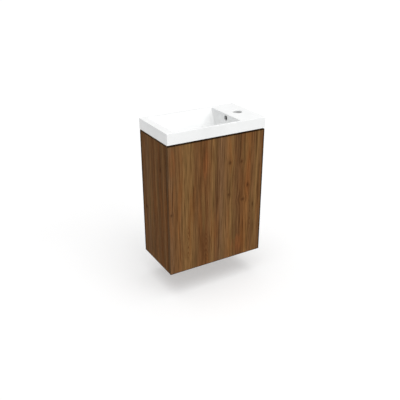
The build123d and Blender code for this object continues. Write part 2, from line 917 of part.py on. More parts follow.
def make_door_panel():
    door = block((-cabinet_side, cabinet_side), (door_front, door_back),
                 (cabinet_bottom, cabinet_top))
    for z in hinge_heights.values():
        x = cabinet_side - cup_centre()[0]
        bottom = door_back - cup_depth - fit_gap
        door -= rod(cup_diameter / 2 + fit_gap, (x, bottom, z), (x, door_back, z))
    for x, y, z in cup_screw_points():
        door -= rod(cup_screw_diameter / 2 + fit_gap, (x, door_back, z),
                    (x, y - cup_screw_length - fit_gap, z))
    x, y, z = strike_screw_point()
    door -= rod(strike_screw_diameter / 2 + fit_gap, (x, door_back, z),
                (x, y - strike_screw_length - fit_gap, z))
    return door


def strike_screw_point():
    return (latch_x, door_back + strike_thickness, latch_z - strike_screw_drop)


def make_strike_plate():
    plate = block((latch_x - strike_width / 2, latch_x + strike_width / 2),
                  (door_back, door_back + strike_thickness),
                  (latch_z + strike_rise, latch_z + strike_rise - strike_height))
    plate = fillet(plate.edges().filter_by(Axis.Y), strike_corner)
    x, y, z = strike_screw_point()
    return plate - rod(strike_screw_diameter / 2 + fit_gap, (x, door_back, z), (x, y, z))


def make_strike_screw():
    return screw(strike_screw_point(), (0, -1, 0), strike_screw_diameter, strike_screw_length,
                 strike_screw_head, strike_screw_head_height)


# Push latch

def latch_screw_points():
    ear_x = -inner_side + latch_ear_thickness
    y = latch_front + latch_length / 2
    half = latch_height / 2 + latch_ear / 2
    return [(ear_x, y, latch_z - half), (ear_x, y, latch_z + half)]


def latch_screw_holes():
    return [
        rod(cup_screw_diameter / 2 + fit_gap, (x, y, z),
            (x - cup_screw_length - fit_gap, y, z))
        for x, y, z in latch_screw_points()
    ]


def make_latch_housing():
    housing = block((-inner_side, -inner_side + latch_width), (latch_front, latch_back),
                    (latch_z - latch_height / 2, latch_z + latch_height / 2))
    housing = fillet(housing.edges().filter_by(Axis.Y).sort_by(Axis.X)[-2:], latch_corner)
    middle = latch_front + latch_length / 2
    ear_half = latch_height / 2 + latch_ear
    ears = block((-inner_side, -inner_side + latch_ear_thickness),
                 (middle - latch_ear, middle + latch_ear), (latch_z - ear_half, latch_z + ear_half))
    housing += fillet(ears.edges().filter_by(Axis.X), latch_ear_corner)
    bore = rod(plunger_diameter / 2 + plunger_gap, (latch_x, latch_front, latch_z),
               (latch_x, latch_back - latch_back_wall, latch_z))
    return drilled(housing - bore, latch_screw_holes())


def make_latch_screws():
    return group([
        screw(point, (-1, 0, 0), cup_screw_diameter, cup_screw_length, screw_head_diameter,
              screw_head_height)
        for point in latch_screw_points()
    ])


def make_latch_plunger():
    plunger = rod(plunger_diameter / 2, (latch_x, plunger_front, latch_z),
                  (latch_x, plunger_back, latch_z))
    plunger -= rod(magnet_diameter / 2 + press_gap, (latch_x, plunger_front, latch_z),
                   (latch_x, plunger_front + magnet_recess, latch_z))
    plunger -= rod(spring_diameter / 2 + spring_gap, (latch_x, spring_front, latch_z),
                   (latch_x, plunger_back, latch_z))
    return plunger


def make_latch_magnet():
    back = plunger_front + magnet_recess
    return rod(magnet_diameter / 2, (latch_x, back - magnet_length, latch_z),
               (latch_x, back, latch_z))


def make_latch_spring():
    """Compression spring between the plunger and the housing's back wall."""
    length = spring_back - spring_front - spring_wire - 2 * fit_gap
    radius = (spring_diameter - spring_wire) / 2
    path = Helix(pitch=length / spring_turns, height=length, radius=radius)
    start = Plane(origin=path @ 0, z_dir=path % 0)
    coil = sweep(start * Circle(spring_wire / 2), path=path)
    base = Plane(origin=(latch_x, spring_front + spring_wire / 2 + fit_gap, latch_z),
                 x_dir=(1, 0, 0), z_dir=(0, 1, 0))
    return base * coil


def make_parts():
    parts = {
        "basin": make_basin(),
        "basin_seal": make_basin_seal(),
        "base_panel": make_base_panel(),
        "upper_back_rail": make_upper_back_rail(),
        "lower_back_rail": make_lower_back_rail(),
        "shelf": make_shelf(),
        "shelf_pins": make_shelf_pins(),
        "cam_locks": make_cam_locks(),
        "cam_bolts": make_cam_bolts(),
        "dowels": make_dowels(),
        "hanger_screws": make_hanger_screws(),
        "hanger_adjusters": make_hanger_adjusters(),
        "hinge_plate_screws": make_hinge_plate_screws(),
        "hinge_arm_screws": make_hinge_arm_screws(),
        "hinge_arm_pins": make_hinge_arm_pins(),
        "hinge_cup_pins": make_hinge_cup_pins(),
        "hinge_cup_screws": make_hinge_cup_screws(),
        "door_panel": make_door_panel(),
        "strike_plate": make_strike_plate(),
        "strike_screw": make_strike_screw(),
        "latch_housing": make_latch_housing(),
        "latch_screws": make_latch_screws(),
        "latch_plunger": make_latch_plunger(),
        "latch_magnet": make_latch_magnet(),
        "latch_spring": make_latch_spring(),
    }
    for name, side in sides.items():
        parts[f"{name}_side_panel"] = make_side_panel(side)
        parts[f"{name}_hanger_housing"] = make_hanger_housing(side)
        parts[f"{name}_hanger_hook"] = make_hanger_hook(side)
        parts[f"{name}_wall_plate"] = make_wall_plate(side)
    for name, z in hinge_heights.items():
        parts[f"{name}_hinge_plate"] = make_hinge_plate(z)
        parts[f"{name}_hinge_arm"] = make_hinge_arm(z)
        parts[f"{name}_outer_link"] = make_outer_link(z)
        parts[f"{name}_inner_link"] = make_inner_link(z)
        parts[f"{name}_hinge_cup"] = make_hinge_cup(z)
    return parts


os.makedirs("parts", exist_ok=True)
for node, shape in make_parts().items():
    export_step(shape, f"parts/{node}.step")
    print(f"{node}: {len(shape.solids())} solid(s), {shape.volume:.0f} mm3")
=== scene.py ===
import logging
import math
from dataclasses import dataclass, field
from enum import Enum

import bmesh
import bpy
import numpy as np
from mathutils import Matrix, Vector


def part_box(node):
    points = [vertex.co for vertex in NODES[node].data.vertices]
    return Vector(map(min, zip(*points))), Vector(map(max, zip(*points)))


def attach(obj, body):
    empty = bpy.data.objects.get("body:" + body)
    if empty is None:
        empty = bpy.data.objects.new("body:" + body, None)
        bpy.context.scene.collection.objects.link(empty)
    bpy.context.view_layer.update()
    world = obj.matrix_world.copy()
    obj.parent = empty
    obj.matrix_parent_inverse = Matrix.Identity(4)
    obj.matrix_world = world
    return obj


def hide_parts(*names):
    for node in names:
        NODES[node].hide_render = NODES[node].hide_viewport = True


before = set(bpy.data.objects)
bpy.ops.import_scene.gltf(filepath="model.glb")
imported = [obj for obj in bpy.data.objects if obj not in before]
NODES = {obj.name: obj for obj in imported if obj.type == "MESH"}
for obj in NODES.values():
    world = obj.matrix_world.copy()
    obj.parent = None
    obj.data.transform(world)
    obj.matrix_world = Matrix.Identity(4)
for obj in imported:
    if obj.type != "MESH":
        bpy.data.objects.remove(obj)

# A wall-hung cloakroom vanity unit: white cast basin over a one-door cabinet in brown laminate.
# Metres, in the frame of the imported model: X to the right, Y to the wall, Z up.

log = logging.getLogger("vanity")
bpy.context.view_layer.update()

Socket = bpy.types.NodeSocket

WELD = 1e-6             # vertices nearer to each other than this are one, in metres
SWAY = 0.006            # how far the laminate's grain sways to and fro, in metres
WRAP = 0.9              # how far its staves turn on round a board's narrow edges
BAND_SHADE = 0.72       # the light that its edge bands keep
SHADE_LINE_WIDTH = 0.0018     # the painted shade line at a board's edges, in metres
BAND_FADE = (0.0001, 0.0003)    # the distances from a band over which its shade fades, in metres
BARE_FADE = (0.00005, 0.0002)   # the same for a face of bare board
GRIT_HEIGHT = 2.0       # the bare board's unevenness against the grain's
GRIT_ROUGH = 0.35       # how much duller the bare board is
GRAIN_DEPTH = 0.00004   # the depth of the pressed grain, in metres
LAMINATE_SHINE = 0.005  # its specular level: the surround is white, and it must not turn grey
MOTTLE = 0.97           # the darker patches of a plain surface, as a share of its colour
COAT_ROUGH = 0.06       # the roughness of a glazed coat
CRISP = 0.6             # the least angle between the faces at a crisp edge, in radians
RIM_NEAR = 0.0004       # how near to a hole's radius its rim lies, in metres
LEVEL_NEAR = 1e-5       # how near to a screw's end its end ring lies, in metres
HEAD_SHARE = 0.95       # the share of a screw's greatest radius that only its head reaches
HEAD_SIDES, SHANK_SIDES, THREAD_RINGS = 32, 14, 48
HEAD_FALL = 0.42        # how far the head's rim lies under its middle, as a share of its height
CROSS_SIZE = (1.1, 0.26, 1.2)   # the cross recess: two shares of the radius, one of the height
CROSS_LIFT = 0.6        # the height of its middle, as a share of the head's
CROSS_TURN = 0.35       # how far it is turned, in radians


def ink(red: int, green: int, blue: int) -> tuple[float, float, float, float]:
    """Turns a display colour into the linear one that shaders take.

    Args:
        red, green, blue: display values from 0 to 255.

    Returns:
        Linear red, green, blue and an alpha of 1.
    """
    parts = [value / 255 for value in (red, green, blue)]
    linear = [p / 12.92 if p <= 0.04045 else ((p + 0.055) / 1.055) ** 2.4 for p in parts]
    return (*linear, 1.0)


class Graph:
    """Adds and joins the nodes of one tree."""

    def __init__(self, tree: bpy.types.NodeTree) -> None:
        """Keeps the tree.

        Args:
            tree: the node tree that this graph fills.
        """
        self.tree = tree

    def add(self, kind: str, inputs: dict | None = None, **settings: object) -> bpy.types.Node:
        """Adds a node.

        Args:
            kind: the node's type name.
            inputs: values or sockets by input name or number.
            settings: the node's own properties, set before its inputs.

        Returns:
            The new node.
        """
        made = self.tree.nodes.new(kind)
        for name, value in settings.items():
            setattr(made, name, value)
        for name, value in (inputs or {}).items():
            if isinstance(value, Socket):
                self.tree.links.new(value, made.inputs[name])
            else:
                made.inputs[name].default_value = value
        return made

    def math(self, operation: str, first: object, second: object = 0.0, third: object = 0.0,
             clamp: bool = False) -> Socket:
        """Returns the result of one Math node."""
        inputs = {0: first, 1: second, 2: third}
        return self.add("ShaderNodeMath", inputs, operation=operation, use_clamp=clamp).outputs[0]

    def vector(self, operation: str, first: object, second: object = (0, 0, 0)) -> Socket:
        """Returns the vector result of one Vector Math node."""
        inputs = {0: first, 1: second}
        return self.add("ShaderNodeVectorMath", inputs, operation=operation).outputs[0]

    def join(self, x: object, y: object, z: object) -> Socket:
        """Returns a vector made of three values."""
        return self.add("ShaderNodeCombineXYZ", {0: x, 1: y, 2: z}).outputs[0]

    def split(self, vector: Socket) -> list[Socket]:
        """Returns the three values of a vector."""
        return list(self.add("ShaderNodeSeparateXYZ", {0: vector}).outputs)

    def noise(self, vector: Socket, scale: float, detail: float = 2.0,
              rough: float = 0.5) -> Socket:
        """Returns a noise value about 0.5."""
        inputs = {"Vector": vector, "Scale": scale, "Detail": detail, "Roughness": rough}
        return self.add("ShaderNodeTexNoise", inputs).outputs[0]

    def span(self, value: Socket, low: float, high: float, out_low: float = 0.0,
             out_high: float = 1.0) -> Socket:
        """Returns the value carried smoothly from one range to another, and held at its ends."""
        inputs = {0: value, 1: low, 2: high, 3: out_low, 4: out_high}
        return self.add("ShaderNodeMapRange", inputs, interpolation_type="SMOOTHSTEP").outputs[0]

    def mix(self, factor: object, first: object, second: object, blend: str = "MIX") -> Socket:
        """Returns two colours mixed."""
        inputs = {0: factor, 6: first, 7: second}
        return self.add("ShaderNodeMix", inputs, data_type="RGBA", blend_type=blend).outputs[2]

    def use(self, group: bpy.types.NodeTree, **inputs: object) -> bpy.types.Node:
        """Returns a node that places a shared group, with its inputs set."""
        return self.add("ShaderNodeGroup", inputs, node_tree=group)


def make_group(name: str, inputs: dict[str, object], outputs: dict[str, str]) -> tuple:
    """Starts a shader node group.

    Args:
        name: the group's name.
        inputs: default value of each input; a number, a vector or a colour.
        outputs: socket type of each output: Float, Vector or Color.

    Returns:
        The tree, its graph, the input sockets by name and the output node.
    """
    tree = bpy.data.node_groups.new(name, "ShaderNodeTree")
    for socket, value in inputs.items():
        kind = "Float" if isinstance(value, float) else "Vector" if len(value) == 3 else "Color"
        made = tree.interface.new_socket(socket, in_out="INPUT", socket_type=f"NodeSocket{kind}")
        made.default_value = value
    for socket, kind in outputs.items():
        tree.interface.new_socket(socket, in_out="OUTPUT", socket_type=f"NodeSocket{kind}")
    graph = Graph(tree)
    source = graph.add("NodeGroupInput")
    taken = {name: source.outputs[name] for name in inputs}
    return tree, graph, taken, graph.add("NodeGroupOutput")


class Tone(Enum):
    """The browns of the laminate's staves."""

    HONEY = (127, 94, 57)
    AMBER = (130, 90, 52)
    TAN = (122, 88, 55)
    ASH = (118, 87, 59)
    UMBER = (112, 79, 49)
    RUSSET = (110, 74, 44)
    SHADE = (104, 72, 45)


class Grain(Enum):
    """Which way a board's grain runs, and which way the staves lie side by side."""

    UP_ACROSS_X = ("x", "z")
    UP_ACROSS_Y = ("y", "z")
    ALONG_X_ACROSS_Y = ("y", "x")
    ALONG_X_ACROSS_Z = ("z", "x")


class StainOrShade(Enum):
    """Stains and the painted shade line laid over the staves: display colour and share mixed in."""

    BLUSH = ((132, 80, 45), 0.5)
    FLAME = ((86, 52, 28), 0.7)
    KNOT = ((60, 34, 18), 0.66)
    # painted shade: the dark line along a board's edges, standing for the shade under the basin
    LINE = ((22, 14, 9), 0.85)


class Fibre(Enum):
    """Noises drawn out along the grain: cells a metre across and along, detail, roughness."""

    DRIFT = (34.0, 3.0, 3.0, 0.6)
    BROAD = (150.0, 5.0, 3.0, 0.8)
    THIN = (380.0, 7.0, 3.0, 0.65)
    VEIN = (210.0, 5.0, 2.0, 0.6)
    PORE = (1500.0, 30.0, 2.0, 0.5)


class Effects:
    """The shader groups that several finishes share, each built once."""

    def __init__(self) -> None:
        """Builds every group."""
        self.sway = self.make_sway()
        self.knot = self.make_knot()
        self.flame = self.make_flame()
        self.blush = self.make_blush()
        self.figure = self.make_figure()
        self.edges = self.make_edges()
        self.chips = self.make_chips()
        self.skin = self.make_skin()
        self.brushing = self.make_brushing()

    @staticmethod
    def make_sway() -> bpy.types.NodeTree:
        """Builds the group that bends straight grain a little to and fro.

        Returns:
            The group's tree.
        """
        tree, g, taken, out = make_group(
            "GrainSway", {"Vector": (0, 0, 0), "Amount": 0.008}, {"Vector": "Vector"})
        quick_share = 0.22
        x, y, z = g.split(taken["Vector"])
        slow = g.join(g.math("MULTIPLY", x, 12.0), g.math("MULTIPLY", y, 3.0), z)
        slow = g.noise(slow, 1.0, 2.0)
        quick = g.join(g.math("MULTIPLY", x, 60.0), g.math("MULTIPLY", y, 9.0), z)
        quick = g.noise(quick, 1.0, 1.0)
        shift = g.math("MULTIPLY_ADD", quick, quick_share, slow)
        shift = g.math("SUBTRACT", shift, 0.5 * (1.0 + quick_share))
        shift = g.math("MULTIPLY", shift, taken["Amount"])
        g.tree.links.new(g.join(g.math("ADD", x, shift), y, z), out.inputs["Vector"])
        return tree

    @staticmethod
    def make_knot() -> bpy.types.NodeTree:
        """Builds the group for one knot: the grain parts round it and it darkens.

        Returns:
            The group's tree.
        """
        tree, g, taken, out = make_group(
            "Knot",
            {"Vector": (0, 0, 0), "Mask": 0.0, "Place": (0, 0, 0), "Size": (1, 1, 1), "Pull": 0.6},
            {"Vector": "Vector", "Mask": "Float"})
        pull_fade, rings, ring_share = 0.12, 7.0, 0.22
        away = g.vector("SUBTRACT", taken["Vector"], taken["Place"])
        share = g.vector("DIVIDE", away, taken["Size"])
        reach = g.add("ShaderNodeVectorMath", {0: share}, operation="LENGTH").outputs["Value"]
        square = g.math("MULTIPLY", reach, reach)
        core = g.math("EXPONENT", g.math("MULTIPLY", square, -1.0))
        wide = g.math("EXPONENT", g.math("MULTIPLY", square, -pull_fade))
        x, y, z = g.split(taken["Vector"])
        x_away = g.split(away)[0]
        drawn = g.math("MULTIPLY", g.math("MULTIPLY", x_away, wide), taken["Pull"])
        ring = g.math("SINE", g.math("MULTIPLY", reach, rings))
        ring = g.math("MULTIPLY", g.math("MULTIPLY_ADD", ring, 0.5, 0.5), wide)
        dark = g.math("ADD", core, g.math("MULTIPLY", ring, ring_share))
        g.tree.links.new(g.join(g.math("SUBTRACT", x, drawn), y, z), out.inputs["Vector"])
        g.tree.links.new(g.math("ADD", taken["Mask"], dark, clamp=True), out.inputs["Mask"])
        return tree

    @staticmethod
    def make_flame() -> bpy.types.NodeTree:
        """Builds the group for a flame: nested arches of grain, one inside the next.

        Returns:
            The group's tree.
        """
        tree, g, taken, out = make_group(
            "Flame",
            {"Vector": (0, 0, 0), "Place": (0, 0, 0), "Size": (1, 1, 1), "Lines": 7.0},
            {"Value": "Float"})
        bow, waver, fineness = 1.6, 0.5, 2.5
        away = g.vector("DIVIDE", g.vector("SUBTRACT", taken["Vector"], taken["Place"]),
                        taken["Size"])
        x, y, _ = g.split(away)
        arch = g.math("MULTIPLY_ADD", g.math("MULTIPLY", x, x), bow, y)
        loose = g.join(g.math("MULTIPLY", x, 2.2), g.math("MULTIPLY", y, 1.2), 0.0)
        loose = g.noise(loose, 1.0, 2.0)
        arch = g.math("MULTIPLY_ADD", loose, waver, arch)
        lines = g.math("SINE", g.math("MULTIPLY", g.math("MULTIPLY", arch, taken["Lines"]), 3.1416))
        lines = g.math("POWER", g.math("MULTIPLY_ADD", lines, 0.5, 0.5), fineness)
        window = g.math("MULTIPLY", g.span(g.math("ABSOLUTE", x), 0.45, 1.0, 1.0, 0.0),
                        g.span(g.math("ABSOLUTE", y), 0.5, 1.1, 1.0, 0.0))
        g.tree.links.new(g.math("MULTIPLY", lines, window), out.inputs["Value"])
        return tree

    @staticmethod
    def make_blush() -> bpy.types.NodeTree:
        """Builds the group for a long patch with soft, ragged borders.

        Returns:
            The group's tree.
        """
        tree, g, taken, out = make_group(
            "Blush", {"Vector": (0, 0, 0), "Mask": 0.0, "Place": (0, 0, 0), "Size": (1, 1, 1)},
            {"Mask": "Float"})
        away = g.vector("DIVIDE", g.vector("SUBTRACT", taken["Vector"], taken["Place"]),
                        taken["Size"])
        x, y, _ = g.split(away)
        ragged = g.join(g.math("MULTIPLY", x, 2.5), g.math("MULTIPLY", y, 0.8), 0.0)
        ragged = g.noise(ragged, 1.0, 3.0)
        reach = g.math("ADD", g.math("MULTIPLY", x, x), g.math("MULTIPLY", y, y))
        reach = g.math("MULTIPLY_ADD", g.math("SUBTRACT", ragged, 0.5), 2.2, reach)
        patch = g.span(reach, 0.2, 1.3, 1.0, 0.0)
        g.tree.links.new(g.math("MAXIMUM", taken["Mask"], patch), out.inputs["Mask"])
        return tree

    @staticmethod
    def make_figure() -> bpy.types.NodeTree:
        """Builds the group for streaks, pores and drift of colour along the grain.

        Returns:
            The group's tree.
        """
        tree, g, taken, out = make_group(
            "GrainFigure",
            {"Color": (0.5, 0.5, 0.5, 1.0), "Vector": (0, 0, 0), "Streak": 0.8, "Vein": 0.25,
             "Pore": 0.3, "Drift": 0.4, "Warm": (0.5, 0.3, 0.2, 1.0),
             "Cool": (0.4, 0.4, 0.3, 1.0), "Dark": (0.1, 0.05, 0.03, 1.0)},
            {"Color": "Color", "Height": "Float", "Roughness": "Float"})
        x, y, z = g.split(taken["Vector"])

        def drawn(fibre: Fibre) -> Socket:
            """Makes one noise.

            Args:
                fibre: how far it is drawn out along the grain, and how fine it is.

            Returns:
                Its value about 0.5.
            """
            across, along, detail, rough = fibre.value
            place = g.join(g.math("MULTIPLY", x, across), g.math("MULTIPLY", y, along),
                           g.math("MULTIPLY", z, 0.01 * across))
            return g.noise(place, 1.0, detail, rough)

        drift = drawn(Fibre.DRIFT)
        warm = g.math("MULTIPLY", g.span(drift, 0.50, 0.68), taken["Drift"])
        cool = g.math("MULTIPLY", g.span(drift, 0.32, 0.48, 1.0, 0.0), taken["Drift"])
        colour = g.mix(warm, taken["Color"], taken["Warm"])
        colour = g.mix(cool, colour, taken["Cool"])
        broad = g.math("SUBTRACT", drawn(Fibre.BROAD), 0.5)
        thin = g.math("SUBTRACT", drawn(Fibre.THIN), 0.5)
        vein = g.span(drawn(Fibre.VEIN), 0.54, 0.64)
        colour = g.mix(g.math("MULTIPLY", vein, taken["Vein"]), colour, taken["Dark"])
        streak = g.math("MULTIPLY_ADD", thin, 0.6, broad)
        light = g.math("MULTIPLY_ADD", streak, taken["Streak"], 1.0)
        pore = g.span(drawn(Fibre.PORE), 0.56, 0.72)
        dim = g.math("MULTIPLY_ADD", g.math("MULTIPLY", pore, taken["Pore"]), -1.0, 1.0)
        light = g.math("MULTIPLY", light, dim)
        g.tree.links.new(g.vector("MULTIPLY", colour, g.join(light, light, light)),
                         out.inputs["Color"])
        g.tree.links.new(g.math("SUBTRACT", g.math("MULTIPLY", thin, 0.4), pore),
                         out.inputs["Height"])
        g.tree.links.new(g.math("MULTIPLY_ADD", pore, 0.10, g.span(broad, -0.3, 0.3, 0.44, 0.54)),
                         out.inputs["Roughness"])
        return tree

    @staticmethod
    def make_edges() -> bpy.types.NodeTree:
        """Builds the group that finds the edges of a board from its two corners.

        Returns:
            The group's tree.
        """
        tree, g, taken, out = make_group(
            "BoardEdges",
            {"Vector": (0, 0, 0), "Low": (0, 0, 0), "High": (1, 1, 1), "Width": 0.001},
            {"Mask": "Float"})
        near = g.vector("MINIMUM", g.vector("SUBTRACT", taken["Vector"], taken["Low"]),
                        g.vector("SUBTRACT", taken["High"], taken["Vector"]))
        a, b, c = g.split(near)
        middle = g.math("MAXIMUM", g.math("MINIMUM", a, b),
                        g.math("MINIMUM", g.math("MAXIMUM", a, b), c))
        ragged = g.math("MULTIPLY_ADD", g.noise(taken["Vector"], 300.0, 2.0), 0.8, 0.6)
        share = g.math("DIVIDE", middle, g.math("MULTIPLY", taken["Width"], ragged))
        g.tree.links.new(g.span(share, 0.6, 1.3, 1.0, 0.0), out.inputs["Mask"])
        return tree

    @staticmethod
    def make_chips() -> bpy.types.NodeTree:
        """Builds the group for the raw edge of a particle board.

        Returns:
            The group's tree.
        """
        tree, g, taken, out = make_group(
            "RawBoard", {"Vector": (0, 0, 0)}, {"Color": "Color", "Height": "Float"})
        cells = g.add("ShaderNodeTexVoronoi", {"Vector": taken["Vector"], "Scale": 650.0})
        ramp = g.add("ShaderNodeValToRGB", {0: g.split(cells.outputs["Color"])[0]})
        ramp.color_ramp.elements[0].color = ink(158, 120, 78)
        ramp.color_ramp.elements[1].color = ink(196, 162, 116)
        fine = g.noise(taken["Vector"], 1400.0, 3.0, 0.7)
        shade = g.span(fine, 0.3, 0.7, 0.62, 1.12)
        g.tree.links.new(g.vector("MULTIPLY", ramp.outputs[0], g.join(shade, shade, shade)),
                         out.inputs["Color"])
        g.tree.links.new(g.math("ADD", fine, cells.outputs["Distance"]), out.inputs["Height"])
        return tree

    @staticmethod
    def make_skin() -> bpy.types.NodeTree:
        """Builds the group for the small unevenness of moulded and glazed surfaces.

        Returns:
            The group's tree.
        """
        tree, g, taken, out = make_group(
            "Skin",
            {"Vector": (0, 0, 0), "Scale": 60.0, "Rough": 0.3, "Spread": 0.1},
            {"Roughness": "Float", "Height": "Float"})
        place = g.vector("MULTIPLY", taken["Vector"],
                         g.join(taken["Scale"], taken["Scale"], taken["Scale"]))
        broad = g.noise(place, 1.0, 3.0, 0.6)
        fine = g.noise(place, 14.0, 2.0, 0.5)
        swing = g.math("MULTIPLY", g.math("SUBTRACT", broad, 0.5), taken["Spread"])
        g.tree.links.new(g.math("ADD", taken["Rough"], swing, clamp=True), out.inputs["Roughness"])
        g.tree.links.new(g.math("MULTIPLY_ADD", fine, 0.3, broad), out.inputs["Height"])
        return tree

    @staticmethod
    def make_brushing() -> bpy.types.NodeTree:
        """Builds the group for plated metal: fine drawn lines, dull patches and tint.

        Returns:
            The group's tree.
        """
        tree, g, taken, out = make_group(
            "Plating",
            {"Vector": (0, 0, 0), "Color": (0.6, 0.6, 0.6, 1.0), "Stretch": (1, 1, 1),
             "Rough": 0.3},
            {"Color": "Color", "Roughness": "Float", "Height": "Float"})
        lines = g.noise(g.vector("MULTIPLY", taken["Vector"], taken["Stretch"]), 1.0, 3.0, 0.6)
        cloud = g.noise(taken["Vector"], 140.0, 3.0, 0.6)
        shade = g.math("ADD", g.span(cloud, 0.25, 0.75, 0.86, 1.06),
                       g.math("MULTIPLY", g.math("SUBTRACT", lines, 0.5), 0.25))
        g.tree.links.new(g.vector("MULTIPLY", taken["Color"], g.join(shade, shade, shade)),
                         out.inputs["Color"])
        rough = g.math("ADD", taken["Rough"], g.span(cloud, 0.3, 0.7, -0.06, 0.08))
        g.tree.links.new(g.math("MULTIPLY_ADD", lines, 0.08, rough), out.inputs["Roughness"])
        g.tree.links.new(lines, out.inputs["Height"])
        return tree


EFFECTS = Effects()


@dataclass(frozen=True)
class Mark:
    """A knot, flame or blush: its place from the staves' start and the board's top, and its
    half sizes, all in metres."""

    across: float
    down: float
    half_across: float = 0.0035
    half_along: float = 0.006


@dataclass(frozen=True)
class Material:
    """What every finish shares: a name and how a material is begun."""

    name: str

    def begin(self) -> tuple[bpy.types.Material, Graph, bpy.types.Node, Socket]:
        """Starts the material.

        Returns:
            The new material, its graph, its shader and its Object coordinates.
        """
        made = bpy.data.materials.new(self.name)
        made.use_nodes = True
        made.node_tree.nodes.clear()
        graph = Graph(made.node_tree)
        shader = graph.add("ShaderNodeBsdfPrincipled")
        end = graph.add("ShaderNodeOutputMaterial", {"Surface": shader.outputs[0]})
        end.is_active_output = True
        place = graph.add("ShaderNodeTexCoord").outputs["Object"]
        return made, graph, shader, place

    @staticmethod
    def bump(graph: Graph, shader: bpy.types.Node, height: Socket, depth: float,
             strength: float = 0.5) -> None:
        """Feeds a height to the shader's normal.

        Args:
            graph: the material's graph.
            shader: the Principled shader.
            height: the height's socket.
            depth: what a height of 1 stands for, in metres.
            strength: how much of it shows.
        """
        bump = graph.add("ShaderNodeBump",
                         {"Height": height, "Distance": depth, "Strength": strength})
        graph.tree.links.new(bump.outputs[0], shader.inputs["Normal"])


